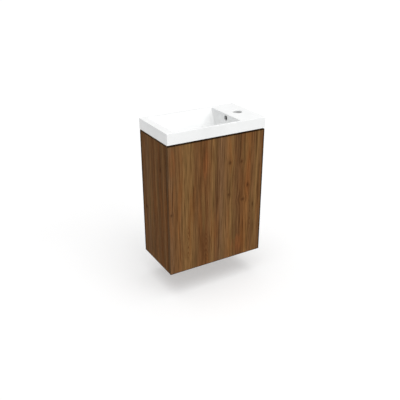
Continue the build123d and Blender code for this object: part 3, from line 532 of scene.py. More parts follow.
@dataclass(frozen=True)
class Laminate(Material):
    """Vertical-grained brown laminate on a board, with its edge bands and raw edges."""

    grain: Grain
    start: float                # where the staves begin, in metres
    staves: tuple[tuple[float, Tone], ...]      # width in millimetres and tone of each
    low: Vector
    high: Vector
    knots: tuple[Mark, ...] = ()
    flames: tuple[Mark, ...] = ()
    blushes: tuple[Mark, ...] = ()
    raw: tuple[tuple[str, float], ...] = ()     # faces left without a band, as axis and side
    soft_low: Vector = field(default_factory=Vector)    # hides the painted shade lines at low edges
    deep_high: Vector = field(default_factory=Vector)   # widens them at high edges
    phase: float = 0.0

    @property
    def rest(self) -> str:
        """The axis through the board's thickness."""
        return next(name for name in "xyz" if name not in self.grain.value)

    def make(self) -> bpy.types.Material:
        """Makes the laminate's material.

        Returns:
            The material.
        """
        made, g, shader, place = self.begin()
        parts = dict(zip("xyz", g.split(place)))
        spot, knotted = self.part_grain(g, self.lay_grain(g, parts))
        spot = g.use(EFFECTS.sway, Vector=spot, Amount=SWAY).outputs[0]
        colour = self.lay_blushes(g, spot, self.stave_colours(g, g.split(spot)[0]))
        figure = g.use(EFFECTS.figure, Color=colour, Vector=spot, Streak=2.0, Vein=0.6,
                       Pore=0.22, Drift=0.5, Warm=ink(124, 78, 40), Cool=ink(108, 84, 50),
                       Dark=ink(74, 45, 24))
        colour = self.lay_flames(g, spot, figure.outputs["Color"])
        if self.knots:
            colour = self.stain_or_shade(g, colour, knotted, StainOrShade.KNOT)
        # painted shade: a dark line along the board's edges
        colour = self.mark_edges(g, place, parts, colour)
        colour, height, rough = self.bare_faces(
            g, place, parts, colour, figure.outputs["Height"], figure.outputs["Roughness"])
        g.tree.links.new(colour, shader.inputs["Base Color"])
        g.tree.links.new(rough, shader.inputs["Roughness"])
        shader.inputs["Specular IOR Level"].default_value = LAMINATE_SHINE
        self.bump(g, shader, height, GRAIN_DEPTH)
        return made

    @staticmethod
    def stain_or_shade(g: Graph, colour: Socket, mask: Socket, stain_or_shade: StainOrShade) -> Socket:
        """Returns the colour with a real stain, also the painted shade line, laid over it at the
        mask.
        """
        shade, share = stain_or_shade.value
        return g.mix(g.math("MULTIPLY", mask, share), colour, ink(*shade))

    def lay_grain(self, g: Graph, parts: dict[str, Socket]) -> Socket:
        """Turns object coordinates into a place on the laid-out staves.

        Args:
            g: the material's graph.
            parts: the object coordinates by axis.

        Returns:
            The distance across the staves from their start, and the place along them.
        """
        across, along = (parts[name] for name in self.grain.value)
        # On a board's narrow edges the staves lie across its thickness.
        wrap = g.math("MULTIPLY_ADD", parts[self.rest], -WRAP, across)
        wrap = g.math("ADD", wrap, WRAP * getattr(self.low, self.rest) - self.start)
        return g.join(wrap, along, self.phase)

    def set_mark(self, mark: Mark) -> dict[str, tuple[float, float, float]]:
        """Reads a mark's place and size as its group takes them.

        Args:
            mark: the knot, flame or blush.

        Returns:
            The values by input name.
        """
        top = getattr(self.high, self.grain.value[1])
        return {"Place": (mark.across, top - mark.down, self.phase),
                "Size": (mark.half_across, mark.half_along, 1.0)}

    def part_grain(self, g: Graph, spot: Socket) -> tuple[Socket, object]:
        """Parts the grain round each knot.

        Args:
            g: the material's graph.
            spot: the place on the staves.

        Returns:
            The place as the knots push it aside, and the mask that shows them.
        """
        mask: object = 0.0
        for knot in self.knots:
            node = g.use(EFFECTS.knot, Vector=spot, Mask=mask, **self.set_mark(knot))
            spot, mask = node.outputs["Vector"], node.outputs["Mask"]
        return spot, mask

    def lay_blushes(self, g: Graph, spot: Socket, colour: Socket) -> Socket:
        """Lays the reddish patches over the staves.

        Args:
            g: the material's graph.
            spot: the place on the staves.
            colour: the staves' colour.

        Returns:
            The new colour.
        """
        mask: object = 0.0
        for patch in self.blushes:
            mask = g.use(EFFECTS.blush, Vector=spot, Mask=mask, **self.set_mark(patch)).outputs[0]
        return self.stain_or_shade(g, colour, mask, StainOrShade.BLUSH) if self.blushes else colour

    def lay_flames(self, g: Graph, spot: Socket, colour: Socket) -> Socket:
        """Lays the flames over the grain.

        Args:
            g: the material's graph.
            spot: the place on the staves.
            colour: the grain's colour.

        Returns:
            The new colour.
        """
        for flame in self.flames:
            lines = g.use(EFFECTS.flame, Vector=spot, **self.set_mark(flame)).outputs[0]
            colour = self.stain_or_shade(g, colour, lines, StainOrShade.FLAME)
        return colour

    def mark_edges(self, g: Graph, place: Socket, parts: dict[str, Socket],
                   colour: Socket) -> Socket:
        """Dims the edge bands and draws a painted shade line at the board's edges.

        Args:
            g: the material's graph.
            place: the object coordinates.
            parts: the same by axis.
            colour: the laminate's colour.

        Returns:
            The new colour.
        """
        near = g.math("MINIMUM", *(self.reach(g, parts[name], name)
                                   for name in "xyz" if name != self.rest))
        band = g.span(near, *BAND_FADE, BAND_SHADE, 1.0)
        colour = g.vector("MULTIPLY", colour, g.join(band, band, band))
        # the painted shade line, drawn where the mask from the board's edges shows
        edges = g.use(EFFECTS.edges, Vector=place, Low=tuple(self.low - self.soft_low),
                      High=tuple(self.high - self.deep_high), Width=SHADE_LINE_WIDTH)
        return self.stain_or_shade(g, colour, edges.outputs[0], StainOrShade.LINE)

    def bare_faces(self, g: Graph, place: Socket, parts: dict[str, Socket], colour: Socket,
                   height: Socket, rough: Socket) -> tuple[Socket, Socket, Socket]:
        """Shows the particle board on the faces that have no band.

        Args:
            g: the material's graph.
            place: the object coordinates.
            parts: the same by axis.
            colour, height, rough: the laminate's own.

        Returns:
            The new colour, height and roughness.
        """
        for axis, side in self.raw:
            end = getattr(self.high if side > 0 else self.low, axis)
            near = g.math("ABSOLUTE", g.math("SUBTRACT", parts[axis], end))
            bare = g.span(near, *BARE_FADE, 1.0, 0.0)
            chips = g.use(EFFECTS.chips, Vector=place)
            colour = g.mix(bare, colour, chips.outputs["Color"])
            grit = g.math("MULTIPLY", bare, chips.outputs["Height"])
            height = g.math("MULTIPLY_ADD", grit, GRIT_HEIGHT, height)
            rough = g.math("MULTIPLY_ADD", bare, GRIT_ROUGH, rough, clamp=True)
        return colour, height, rough

    def reach(self, g: Graph, value: Socket, axis: str) -> Socket:
        """Returns the distance to the board's nearer face on one axis."""
        low, high = getattr(self.low, axis), getattr(self.high, axis)
        return g.math("MINIMUM", g.math("SUBTRACT", value, low), g.math("SUBTRACT", high, value))

    def stave_colours(self, g: Graph, across: Socket) -> Socket:
        """Lays the staves side by side, each melting a little into the next.

        Args:
            g: the material's graph.
            across: the distance from the first stave, in metres.

        Returns:
            The colour of the stave at each point.
        """
        total = sum(width for width, _ in self.staves) / 1000
        fold = g.math("PINGPONG", across, total)
        ramp = g.add("ShaderNodeValToRGB", {0: g.math("DIVIDE", fold, total)})
        stops = ramp.color_ramp
        stops.interpolation = "EASE"
        run = 0.0
        for number, (width, tone) in enumerate(self.staves):
            middle = (run + width / 2) / 1000 / total
            run += width
            stop = stops.elements[number] if number < 2 else stops.elements.new(middle)
            stop.position = middle
            stop.color = ink(*tone.value)
        return ramp.outputs[0]


@dataclass(frozen=True)
class Smooth(Material):
    """A cast, moulded or rubber surface of one colour with small unevenness."""

    colour: tuple[int, int, int]
    rough: float
    spread: float = 0.08
    scale: float = 60.0
    depth: float = 0.00005
    shine: float = 0.5
    coat: float = 0.0

    def make(self) -> bpy.types.Material:
        """Makes the surface's material.

        Returns:
            The material.
        """
        made, g, shader, place = self.begin()
        skin = g.use(EFFECTS.skin, Vector=place, Scale=self.scale, Rough=self.rough,
                            Spread=self.spread)
        mottled = g.span(g.noise(place, self.scale * 0.3, 3.0), 0.3, 0.7, 0.0, 1.0)
        shade = tuple(int(value * MOTTLE) for value in self.colour)
        colour = g.mix(mottled, ink(*shade), ink(*self.colour))
        rough = skin.outputs["Roughness"]
        g.tree.links.new(colour, shader.inputs["Base Color"])
        g.tree.links.new(rough, shader.inputs["Roughness"])
        shader.inputs["Specular IOR Level"].default_value = self.shine
        shader.inputs["Coat Weight"].default_value = self.coat
        shader.inputs["Coat Roughness"].default_value = COAT_ROUGH
        self.bump(g, shader, skin.outputs["Height"], self.depth, 0.25)
        return made


@dataclass(frozen=True)
class Plated(Material):
    """Plated or cast metal."""

    colour: tuple[int, int, int]
    rough: float
    stretch: tuple[float, float, float] = (900.0, 900.0, 40.0)
    depth: float = 0.00003

    def make(self) -> bpy.types.Material:
        """Makes the metal's material.

        Returns:
            The material.
        """
        made, g, shader, place = self.begin()
        plate = g.use(EFFECTS.brushing, Vector=place, Color=ink(*self.colour),
                             Stretch=self.stretch, Rough=self.rough)
        g.tree.links.new(plate.outputs["Color"], shader.inputs["Base Color"])
        g.tree.links.new(plate.outputs["Roughness"], shader.inputs["Roughness"])
        shader.inputs["Metallic"].default_value = 1.0
        self.bump(g, shader, plate.outputs["Height"], self.depth, 0.3)
        return made


@dataclass(frozen=True)
class Beech(Material):
    """Pale beech with short flecks, for the dowels."""

    def make(self) -> bpy.types.Material:
        """Makes the beech's material.

        Returns:
            The material.
        """
        made, g, shader, place = self.begin()
        x, y, z = g.split(place)
        figure = g.use(EFFECTS.figure, Color=ink(205, 170, 126),
                              Vector=g.join(g.math("ADD", y, z), x, 0.0), Streak=0.3, Vein=0.1,
                              Pore=0.25, Drift=0.5, Warm=ink(198, 152, 108),
                              Cool=ink(212, 182, 140), Dark=ink(160, 118, 76))
        g.tree.links.new(figure.outputs["Color"], shader.inputs["Base Color"])
        g.tree.links.new(figure.outputs["Roughness"], shader.inputs["Roughness"])
        self.bump(g, shader, figure.outputs["Height"], 0.00005)
        return made


def dress(material: bpy.types.Material, *names: str) -> None:
    """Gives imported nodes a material.

    Args:
        material: the finish.
        names: the nodes that take it.
    """
    for name in names:
        mesh = NODES[name].data
        mesh.materials.clear()
        mesh.materials.append(material)


def smooth_copy(node: str, name: str, body: str, material: bpy.types.Material,
                angle: float = 30.0) -> bpy.types.Object:
    """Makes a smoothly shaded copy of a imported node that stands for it.

    Args:
        node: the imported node.
        name: the copy's name.
        body: the body that it rides on.
        material: its finish.
        angle: the sharpest edge that is shaded smoothly, in degrees.

    Returns:
        The copy.
    """
    mesh = NODES[node].data.copy()
    mesh.name = name
    work = bmesh.new()
    work.from_mesh(mesh)
    bmesh.ops.remove_doubles(work, verts=work.verts, dist=WELD)
    bmesh.ops.dissolve_degenerate(work, edges=work.edges, dist=1e-7)
    for face in work.faces:
        face.smooth = True
    for edge in work.edges:
        edge.smooth = edge.calc_face_angle(math.pi) < math.radians(angle)
    work.to_mesh(mesh)
    work.free()
    mesh.materials.clear()
    mesh.materials.append(material)
    made = bpy.data.objects.new(name, mesh)
    bpy.context.scene.collection.objects.link(made)
    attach(made, body)
    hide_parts(node)
    return made


@dataclass(frozen=True)
class Screw:
    """One screw as packed: where its head's seat is, the way the head looks, and its sizes."""

    seat: Vector
    aim: Vector
    head_radius: float
    head_height: float
    shank_radius: float
    length: float


def find_screws(node: str) -> list[Screw]:
    """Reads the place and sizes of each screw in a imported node.

    Args:
        node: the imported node, whose screws lie along X, Y or Z.

    Returns:
        The screws.
    """
    work = bmesh.new()
    work.from_mesh(NODES[node].data)
    bmesh.ops.remove_doubles(work, verts=work.verts, dist=WELD)
    left, screws = set(work.verts), []
    while left:
        todo, loose = [left.pop()], []
        while todo:
            vert = todo.pop()
            loose.append(vert.co[:])
            near = {edge.other_vert(vert) for edge in vert.link_edges} & left
            left -= near
            todo.extend(near)
        points = np.array(loose)
        low, high = points.min(0), points.max(0)
        along = int(np.argmax(high - low))
        middle = (low + high) / 2
        level = points[:, along]
        radius = np.linalg.norm(np.delete(points - middle, along, 1), axis=1)
        ends = [radius[abs(level - end) < LEVEL_NEAR].max() for end in (low[along], high[along])]
        side = 1 if ends[1] > ends[0] else -1
        wide = level[radius > HEAD_SHARE * max(ends)]
        middle[along] = wide.min() if side > 0 else wide.max()
        aim = Vector((0, 0, 0))
        aim[along] = side
        height = float(wide.max() - wide.min())
        screws.append(Screw(Vector(middle), aim, float(max(ends)), height, float(min(ends)),
                            float(high[along] - low[along]) - height))
    work.free()
    return sorted(screws, key=lambda screw: screw.seat[:])


@dataclass
class ScrewSet:
    """The screws of one node, made again with a domed head, a cross recess and a thread."""

    node: str
    body: str
    material: bpy.types.Material
    pitch: float = 0.0014
    thread: float = 0.12        # depth of the thread as a share of the shank's radius

    def build(self) -> bpy.types.Object:
        """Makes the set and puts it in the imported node's place.

        Returns:
            The finished piece.
        """
        screws = find_screws(self.node)
        first = screws[0]
        mesh = bpy.data.meshes.new(f"{self.node}_turned")
        mesh.from_pydata([screw.seat[:] for screw in screws], [], [])
        aims = mesh.attributes.new("aim", "FLOAT_VECTOR", "POINT")
        aims.data.foreach_set("vector", [value for screw in screws for value in screw.aim])
        made = bpy.data.objects.new(f"{self.node}_turned", mesh)
        bpy.context.scene.collection.objects.link(made)
        modifier = made.modifiers.new("Screws", "NODES")
        modifier.node_group = self.tree()
        sizes = {
            "Head Radius": first.head_radius, "Head Height": first.head_height,
            "Shank Radius": first.shank_radius, "Length": first.length, "Pitch": self.pitch,
            "Thread": self.thread, "Finish": self.material,
        }
        for item in modifier.node_group.interface.items_tree:
            if item.in_out == "INPUT" and item.name in sizes:
                modifier[item.identifier] = sizes[item.name]
        bpy.context.view_layer.update()
        view = bpy.context.evaluated_depsgraph_get()
        whole = bpy.data.meshes.new_from_object(made.evaluated_get(view))
        made.modifiers.clear()
        made.data = whole
        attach(made, self.body)
        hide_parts(self.node)
        log.info("%s: %d screws, %d faces", self.node, len(screws), len(whole.polygons))
        return made

    @classmethod
    def tree(cls) -> bpy.types.NodeTree:
        """Builds the screw's tree at its first use.

        Returns:
            The tree.
        """
        if "TurnedScrew" in bpy.data.node_groups:
            return bpy.data.node_groups["TurnedScrew"]
        tree = bpy.data.node_groups.new("TurnedScrew", "GeometryNodeTree")
        tree.interface.new_socket("Geometry", in_out="INPUT", socket_type="NodeSocketGeometry")
        for name in ("Head Radius", "Head Height", "Shank Radius", "Length", "Pitch", "Thread"):
            tree.interface.new_socket(name, in_out="INPUT", socket_type="NodeSocketFloat")
        tree.interface.new_socket("Finish", in_out="INPUT", socket_type="NodeSocketMaterial")
        tree.interface.new_socket("Geometry", in_out="OUTPUT", socket_type="NodeSocketGeometry")
        g = Graph(tree)
        taken = g.add("NodeGroupInput").outputs
        place = g.add("GeometryNodeInputPosition").outputs[0]
        both = g.add("GeometryNodeJoinGeometry")
        for part in (cls.make_stem(g, taken, place), cls.make_head(g, taken, place)):
            tree.links.new(part, both.inputs[0])
        aim = g.add("GeometryNodeInputNamedAttribute", {"Name": "aim"}, data_type="FLOAT_VECTOR")
        turn = g.add("FunctionNodeAlignRotationToVector", {"Vector": aim.outputs[0]}, axis="Z")
        spread = g.add("GeometryNodeInstanceOnPoints",
                       {"Points": taken["Geometry"], "Instance": both.outputs[0],
                        "Rotation": turn.outputs[0]})
        real = g.add("GeometryNodeRealizeInstances", {"Geometry": spread.outputs[0]})
        dressed = g.add("GeometryNodeSetMaterial",
                        {"Geometry": real.outputs[0], "Material": taken["Finish"]})
        g.add("NodeGroupOutput", {"Geometry": dressed.outputs[0]})
        return tree

    @staticmethod
    def make_head(g: Graph, taken: bpy.types.NodeOutputs, place: Socket) -> Socket:
        """Makes the head: a drum whose top falls away from its middle, cut by a cross.

        Args:
            g: the screw's graph.
            taken: the group's inputs.
            place: the position of each point.

        Returns:
            The head, sitting on the level of its seat.
        """
        x, y, z = g.split(place)
        reach = g.math("SQRT", g.math("ADD", g.math("MULTIPLY", x, x), g.math("MULTIPLY", y, y)))
        radius, height = taken["Head Radius"], taken["Head Height"]
        drum = g.add("GeometryNodeMeshCylinder",
                     {"Vertices": HEAD_SIDES, "Side Segments": 2, "Fill Segments": 4,
                      "Radius": radius, "Depth": height})
        fall = g.math("POWER", g.math("DIVIDE", reach, radius), 3.0)
        fall = g.math("MULTIPLY", g.math("MULTIPLY", fall, -HEAD_FALL), height)
        fall = g.math("MULTIPLY", fall, g.math("GREATER_THAN", z, 0.0))
        dome = g.add("GeometryNodeSetPosition",
                     {"Geometry": drum.outputs[0], "Offset": g.join(0.0, 0.0, fall)})
        size = g.join(*(g.math("MULTIPLY", length, share)
                        for length, share in zip((radius, radius, height), CROSS_SIZE)))
        blade = g.add("GeometryNodeMeshCube", {"Size": size})
        lift = g.join(0.0, 0.0, g.math("MULTIPLY", height, CROSS_LIFT))
        blades = g.add("GeometryNodeJoinGeometry")
        for turn in (0.0, math.pi / 2):
            turned = g.add("GeometryNodeTransform",
                           {"Geometry": blade.outputs[0], "Translation": lift,
                            "Rotation": (0, 0, turn + CROSS_TURN)})
            g.tree.links.new(turned.outputs[0], blades.inputs[0])
        cut = g.add("GeometryNodeMeshBoolean",
                    {"Mesh 1": dome.outputs[0], "Mesh 2": blades.outputs[0],
                     "Self Intersection": True}, operation="DIFFERENCE", solver="EXACT")
        seat = g.join(0.0, 0.0, g.math("MULTIPLY", height, 0.5))
        return g.add("GeometryNodeTransform",
                     {"Geometry": cut.outputs[0], "Translation": seat}).outputs[0]

    @staticmethod
    def make_stem(g: Graph, taken: bpy.types.NodeOutputs, place: Socket) -> Socket:
        """Makes the shank: a drum with a spiral groove.

        Args:
            g: the screw's graph.
            taken: the group's inputs.
            place: the position of each point.

        Returns:
            The shank, hanging from the level of the head's seat.
        """
        x, y, z = g.split(place)
        shank = g.add("GeometryNodeMeshCylinder",
                      {"Vertices": SHANK_SIDES, "Side Segments": THREAD_RINGS,
                       "Radius": taken["Shank Radius"], "Depth": taken["Length"]})
        angle = g.math("DIVIDE", g.math("ARCTAN2", y, x), 2 * math.pi)
        wave = g.math("FRACT", g.math("ADD", g.math("DIVIDE", z, taken["Pitch"]), angle))
        wave = g.math("MULTIPLY", g.math("ABSOLUTE", g.math("SUBTRACT", wave, 0.5)), -2.0)
        depth = g.math("MULTIPLY", wave, taken["Thread"])
        groove = g.vector("MULTIPLY", place, g.join(depth, depth, 0.0))
        threaded = g.add("GeometryNodeSetPosition",
                         {"Geometry": shank.outputs[0], "Offset": groove})
        smooth = g.add("GeometryNodeSetShadeSmooth", {"Geometry": threaded.outputs[0]})
        down = g.join(0.0, 0.0, g.math("MULTIPLY", taken["Length"], -0.5))
        return g.add("GeometryNodeTransform",
                     {"Geometry": smooth.outputs[0], "Translation": down}).outputs[0]


@dataclass(frozen=True)
class Lip:
    """The glazed lip of a round hole.

    Its axis is the one that the hole looks along. Its level is the span on that axis where its
    edge lies, and its middle is on the other two axes.
    """

    name: str
    axis: str
    level: tuple[float, float]
    middle: tuple[float, float]
    radius: float
    rounding: float

    def holds(self, edge: bmesh.types.BMEdge) -> bool:
        """Tells whether an edge lies on the hole's crisp rim.

        Args:
            edge: an edge of the basin.

        Returns:
            True for an edge of the rim.
        """
        if len(edge.link_faces) != 2 or edge.calc_face_angle(0.0) <= CRISP:
            return False
        low, high = self.level
        for vert in edge.verts:
            first, second = (getattr(vert.co, name) for name in "xyz" if name != self.axis)
            away = math.hypot(first - self.middle[0], second - self.middle[1])
            if not low < getattr(vert.co, self.axis) < high:
                return False
            if abs(away - self.radius) >= RIM_NEAR:
                return False
        return True


@dataclass
class Basin:
    """The white cast basin and the dark bead that it sits on."""

    underside: float = 0.1242       # the height under which the back of the cast is left raw
    bowl_middle: Vector = field(default_factory=lambda: Vector((-0.0375, -0.1135, 0.12)))
    # the box inside the overflow duct whose faces get painted shade
    duct: tuple[Vector, Vector] = field(default_factory=lambda: (
        Vector((0.1035, -0.126, 0.0)), Vector((0.1175, -0.101, 0.1585))))
    lips: tuple[Lip, ...] = (
        Lip("tap", "z", (0.16399, 0.16401), (0.150, -0.110), 0.0175, 0.0030),
        Lip("overflow", "x", (0.094, 0.101), (-0.1135, 0.148), 0.010, 0.0010),
    )

    def build(self) -> None:
        """Makes the basin's smooth skin and finishes the bead."""
        white = Smooth("CastWhite", (246, 247, 247), 0.2, 0.06, 22.0, 0.0002, 0.5, 0.4).make()
        basin = smooth_copy("basin", "basin_cast", "carcass", white)
        # the third finish is painted shade: the dark inside of the overflow duct
        for finish in (Smooth("CastBack", (222, 221, 214), 0.75, 0.15, 400.0, 0.0002, 0.3),
                       Smooth("DuctPaintedShade", (66, 65, 63), 0.8, 0.15, 400.0, 0.0002, 0.2)):
            basin.data.materials.append(finish.make())
        self.soften_holes(basin.data)
        for face in basin.data.polygons:
            face.material_index = self.pick(face)
        bead = Smooth("JointBlack", (12, 12, 13), 0.8, 0.2, 200.0, 0.0001, 0.1).make()
        dress(bead, "basin_seal")
        log.info("basin and bead")

    def pick(self, face: bpy.types.MeshPolygon) -> int:
        """Picks a face's finish.

        Args:
            face: a face of the basin.

        Returns:
            0 for the glazed cast, 1 for its raw back, 2 for painted shade in the duct.
        """
        place = face.center
        low, high = self.duct
        if all(low[axis] < place[axis] < high[axis] for axis in range(3)):
            return 2
        inward = face.normal.dot(self.bowl_middle - place) > 0
        return int(place.z < self.underside and (face.normal.z < -0.5 or not inward))

    def soften_holes(self, mesh: bpy.types.Mesh) -> None:
        """Rounds the lips of the holes.

        Args:
            mesh: the basin's own mesh.
        """
        work = bmesh.new()
        work.from_mesh(mesh)
        for lip in self.lips:
            rim = [edge for edge in work.edges if lip.holds(edge)]
            bmesh.ops.bevel(work, geom=rim, offset=lip.rounding, segments=3, profile=0.5,
                            affect="EDGES", clamp_overlap=True)
            log.info("%s hole: lip of %d edges", lip.name, len(rim))
        for face in work.faces:
            face.smooth = True
        work.to_mesh(mesh)
        work.free()


@dataclass
class Cabinet:
    """The boards: sides, base, back rails and shelf."""

    side_staves: tuple[tuple[float, Tone], ...] = (
        (10, Tone.RUSSET), (14, Tone.TAN), (20, Tone.UMBER), (12, Tone.RUSSET),
        (12, Tone.UMBER), (22, Tone.TAN), (10, Tone.RUSSET), (22, Tone.UMBER), (12, Tone.TAN),
        (36, Tone.ASH), (12, Tone.UMBER), (22, Tone.RUSSET),
    )
    side_knots: tuple[Mark, ...] = (Mark(0.044, 0.105), Mark(0.170, 0.295, 0.006, 0.004))

    def build(self) -> None:
        """Finishes every board."""
        # deep widens the painted shade line at the left side's rear and top edges
        for name, knots, deep, phase in (
            ("left_side_panel", self.side_knots, Vector((0, 0.005, 0.002)), 0.3),
            ("right_side_panel", (), Vector(), 2.1),
        ):
            low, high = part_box(name)
            board = Laminate(
                f"Laminate_{name}", Grain.UP_ACROSS_Y, low.y, self.side_staves, low, high,
                knots=knots, raw=(("y", 1.0), ("z", 1.0)), soft_low=Vector((0, 1, 0)),
                deep_high=deep, phase=phase)
            dress(board.make(), name)
        for name, grain, phase in (
            ("base_panel", Grain.ALONG_X_ACROSS_Y, 3.4), ("shelf", Grain.ALONG_X_ACROSS_Y, 5.2),
            ("upper_back_rail", Grain.ALONG_X_ACROSS_Z, 6.6),
            ("lower_back_rail", Grain.ALONG_X_ACROSS_Z, 8.1),
        ):
            low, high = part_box(name)
            start = low.y if grain is Grain.ALONG_X_ACROSS_Y else low.z
            raw = (("y", 1.0),) if name in ("base_panel", "shelf") else (("z", -1.0),)
            board = Laminate(f"Laminate_{name}", grain, start, self.side_staves, low, high,
                             raw=raw, phase=phase)
            dress(board.make(), name)
        log.info("cabinet boards")


@dataclass
class Door:
    """The handleless door panel."""

    staves: tuple[tuple[float, Tone], ...] = (
        (12, Tone.ASH), (22, Tone.UMBER), (18, Tone.TAN), (24, Tone.HONEY), (26, Tone.HONEY),
        (18, Tone.UMBER), (22, Tone.RUSSET), (16, Tone.RUSSET), (14, Tone.TAN),
        (14, Tone.HONEY), (12, Tone.SHADE), (30, Tone.ASH), (22, Tone.TAN), (18, Tone.HONEY),
        (10, Tone.UMBER), (20, Tone.SHADE), (10, Tone.RUSSET), (38, Tone.AMBER),
        (12, Tone.UMBER), (16, Tone.HONEY), (22, Tone.UMBER),
    )
    knots: tuple[Mark, ...] = (
        Mark(0.250, 0.105, 0.006, 0.007), Mark(0.300, 0.108, 0.005, 0.006),
        Mark(0.330, 0.207, 0.0045, 0.008), Mark(0.310, 0.262, 0.008, 0.006),
        Mark(0.008, 0.257, 0.004, 0.006), Mark(0.357, 0.293, 0.003, 0.010),
        Mark(0.247, 0.230, 0.004, 0.006),
    )
    blushes: tuple[Mark, ...] = (
        Mark(0.014, 0.065, 0.014, 0.060), Mark(0.290, 0.450, 0.030, 0.045),
        Mark(0.332, 0.170, 0.012, 0.110), Mark(0.150, 0.090, 0.014, 0.060),
        Mark(0.395, 0.040, 0.012, 0.050),
    )
    flames: tuple[Mark, ...] = (
        Mark(0.150, 0.418, 0.021, 0.075), Mark(0.075, 0.380, 0.012, 0.09),
        Mark(0.345, 0.330, 0.010, 0.08),
    )

    def build(self) -> None:
        """Finishes the door."""
        low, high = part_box("door_panel")
        # deep_high widens the painted shade line at the door's right and top edges
        panel = Laminate(
            "Laminate_door_panel", Grain.UP_ACROSS_X, low.x, self.staves, low, high,
            knots=self.knots, flames=self.flames, blushes=self.blushes,
            soft_low=Vector((1, 0, 0)), deep_high=Vector((0.0028, 0, 0.0018)))
        dress(panel.make(), "door_panel")
        log.info("door")


@dataclass
class Fittings:
    """Hinges, hangers, latch and joinery."""

    metals: tuple[tuple[str, tuple[int, int, int], float, tuple[str, ...]], ...] = (
        ("Nickel", (196, 192, 184), 0.26, (
            "upper_hinge_arm", "lower_hinge_arm", "upper_outer_link", "lower_outer_link",
            "upper_inner_link", "lower_inner_link", "upper_hinge_cup", "lower_hinge_cup")),
        ("ZincPlate", (186, 190, 194), 0.36, (
            "left_hanger_hook", "right_hanger_hook", "left_wall_plate", "right_wall_plate",
            "strike_plate", "hanger_adjusters")),
        ("CastZinc", (168, 168, 170), 0.46, (
            "cam_locks", "upper_hinge_plate", "lower_hinge_plate")),
        ("BrightSteel", (204, 204, 204), 0.2, (
            "shelf_pins", "cam_bolts", "hinge_arm_pins", "hinge_cup_pins", "latch_magnet",
            "latch_spring")),
    )

    screws: tuple[tuple[str, str], ...] = (
        ("hinge_cup_screws", "door"), ("strike_screw", "door"), ("hinge_plate_screws", "carcass"),
        ("hinge_arm_screws", "carcass"), ("hanger_screws", "carcass"),
        ("latch_screws", "carcass"),
    )

    def build(self) -> None:
        """Finishes every fitting."""
        for name, colour, rough, nodes in self.metals:
            dress(Plated(name, colour, rough).make(), *nodes)
        zinc = Plated("ZincScrew", (190, 192, 190), 0.3, (300.0, 300.0, 300.0)).make()
        for node, body in self.screws:
            ScrewSet(node, body, zinc).build()
        hanger = Smooth("HangerPlastic", (222, 221, 216), 0.5, 0.1, 160.0, 0.0001, 0.4).make()
        dress(hanger, "left_hanger_housing", "right_hanger_housing")
        latch = Smooth("LatchPlastic", (150, 152, 154), 0.5, 0.1, 160.0, 0.0001, 0.4).make()
        dress(latch, "latch_housing", "latch_plunger")
        dress(Beech("BeechPeg").make(), "dowels")
        log.info("fittings")


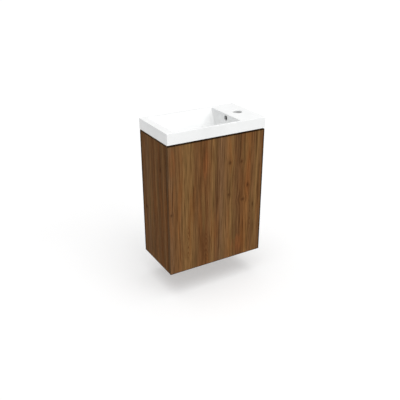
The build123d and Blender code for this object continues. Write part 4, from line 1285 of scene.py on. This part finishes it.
@dataclass
class Studio:
    """Camera, lamps, white surround and the floor that takes the shadow."""

    camera_place: tuple[float, float, float] = (-0.9575, -1.7416, 0.72205)
    camera_turn: tuple[float, float, float] = (64.90, 0.0, -30.14)
    lens: float = 48.82
    sensor: float = 36.0
    clip: tuple[float, float] = (0.05, 200.0)
    floor: float = -0.48
    floor_half: float = 60.0
    floor_glow: float = 0.351
    floor_pale: float = 0.66
    floor_plain: float = 0.70
    sky: float = 0.40
    lamps: tuple[tuple[str, float, tuple[float, float, float], float], ...] = (
        ("OverheadLamp", 0.54, (-0.05, -0.2, 1.0), 60.0),
        ("FrontLamp", 0.36, (0.35, -0.90, 0.32), 60.0),
    )

    def build(self) -> None:
        """Makes everything that is not the object."""
        self.make_camera()
        self.make_sky()
        self.make_lamps()
        self.make_floor()
        log.info("studio")

    def make_camera(self) -> None:
        """Sets the camera where the photograph was taken from."""
        data = bpy.data.cameras.new("PhotoCamera")
        data.lens = self.lens
        data.sensor_width = self.sensor
        data.clip_start, data.clip_end = self.clip
        camera = bpy.data.objects.new("PhotoCamera", data)
        bpy.context.scene.collection.objects.link(camera)
        camera.location = self.camera_place
        camera.rotation_euler = [math.radians(turn) for turn in self.camera_turn]
        bpy.context.scene.camera = camera

    @staticmethod
    def seen(g: Graph) -> Socket:
        """Tells rays that the camera sees from rays that carry light.

        Args:
            g: the graph of the sky or the floor.

        Returns:
            1 for what the camera sees, also in a reflection or through glass.
        """
        path = g.add("ShaderNodeLightPath").outputs
        return g.math("MAXIMUM", path["Is Camera Ray"],
                      g.math("MAXIMUM", path["Is Glossy Ray"], path["Is Transmission Ray"]))

    def make_sky(self) -> None:
        """Makes the even dome, which the camera sees as plain white."""
        world = bpy.data.worlds.new("Surround")
        world.use_nodes = True
        world.node_tree.nodes.clear()
        g = Graph(world.node_tree)
        strength = g.math("ADD", self.sky, g.math("MULTIPLY", self.seen(g), 1.0 - self.sky))
        shade = g.add("ShaderNodeBackground", {"Color": (1, 1, 1, 1), "Strength": strength})
        g.add("ShaderNodeOutputWorld", {"Surface": shade.outputs[0]})
        bpy.context.scene.world = world

    def make_lamps(self) -> None:
        """Makes the wide soft lamps, one above and one low in front."""
        for name, share, toward, spread in self.lamps:
            data = bpy.data.lights.new(name, "SUN")
            data.energy = share * math.pi
            data.angle = math.radians(spread)
            lamp = bpy.data.objects.new(name, data)
            bpy.context.scene.collection.objects.link(lamp)
            lamp.rotation_mode = "QUATERNION"
            lamp.rotation_quaternion = Vector(toward).to_track_quat("Z", "Y")

    def make_floor(self) -> None:
        """Makes the pale floor under the unit."""
        half = self.floor_half
        mesh = bpy.data.meshes.new("StudioFloor")
        corners = [(-half, -half), (half, -half), (half, half), (-half, half)]
        mesh.from_pydata([(x, y, self.floor) for x, y in corners], [], [(0, 1, 2, 3)])
        material = bpy.data.materials.new("StudioFloor")
        material.use_nodes = True
        material.node_tree.nodes.clear()
        g = Graph(material.node_tree)
        plain = g.add("ShaderNodeBsdfDiffuse", {"Color": (*[self.floor_plain] * 3, 1)})
        pale = g.add("ShaderNodeBsdfDiffuse", {"Color": (*[self.floor_pale] * 3, 1)})
        glow = g.add("ShaderNodeEmission", {"Color": (1, 1, 1, 1), "Strength": self.floor_glow})
        both = g.add("ShaderNodeAddShader", {0: pale.outputs[0], 1: glow.outputs[0]})
        mixed = g.add("ShaderNodeMixShader",
                      {0: self.seen(g), 1: plain.outputs[0], 2: both.outputs[0]})
        g.add("ShaderNodeOutputMaterial", {"Surface": mixed.outputs[0]})
        mesh.materials.append(material)
        floor = bpy.data.objects.new("StudioFloor", mesh)
        bpy.context.scene.collection.objects.link(floor)


def main() -> None:
    """Builds the studio and each sub-assembly in order."""
    logging.basicConfig(level=logging.INFO, format="%(name)s: %(message)s")
    bpy.context.scene.view_settings.view_transform = "Standard"
    for assembly in (Studio(), Basin(), Cabinet(), Door(), Fittings()):
        assembly.build()


if __name__ == "__main__":
    main()
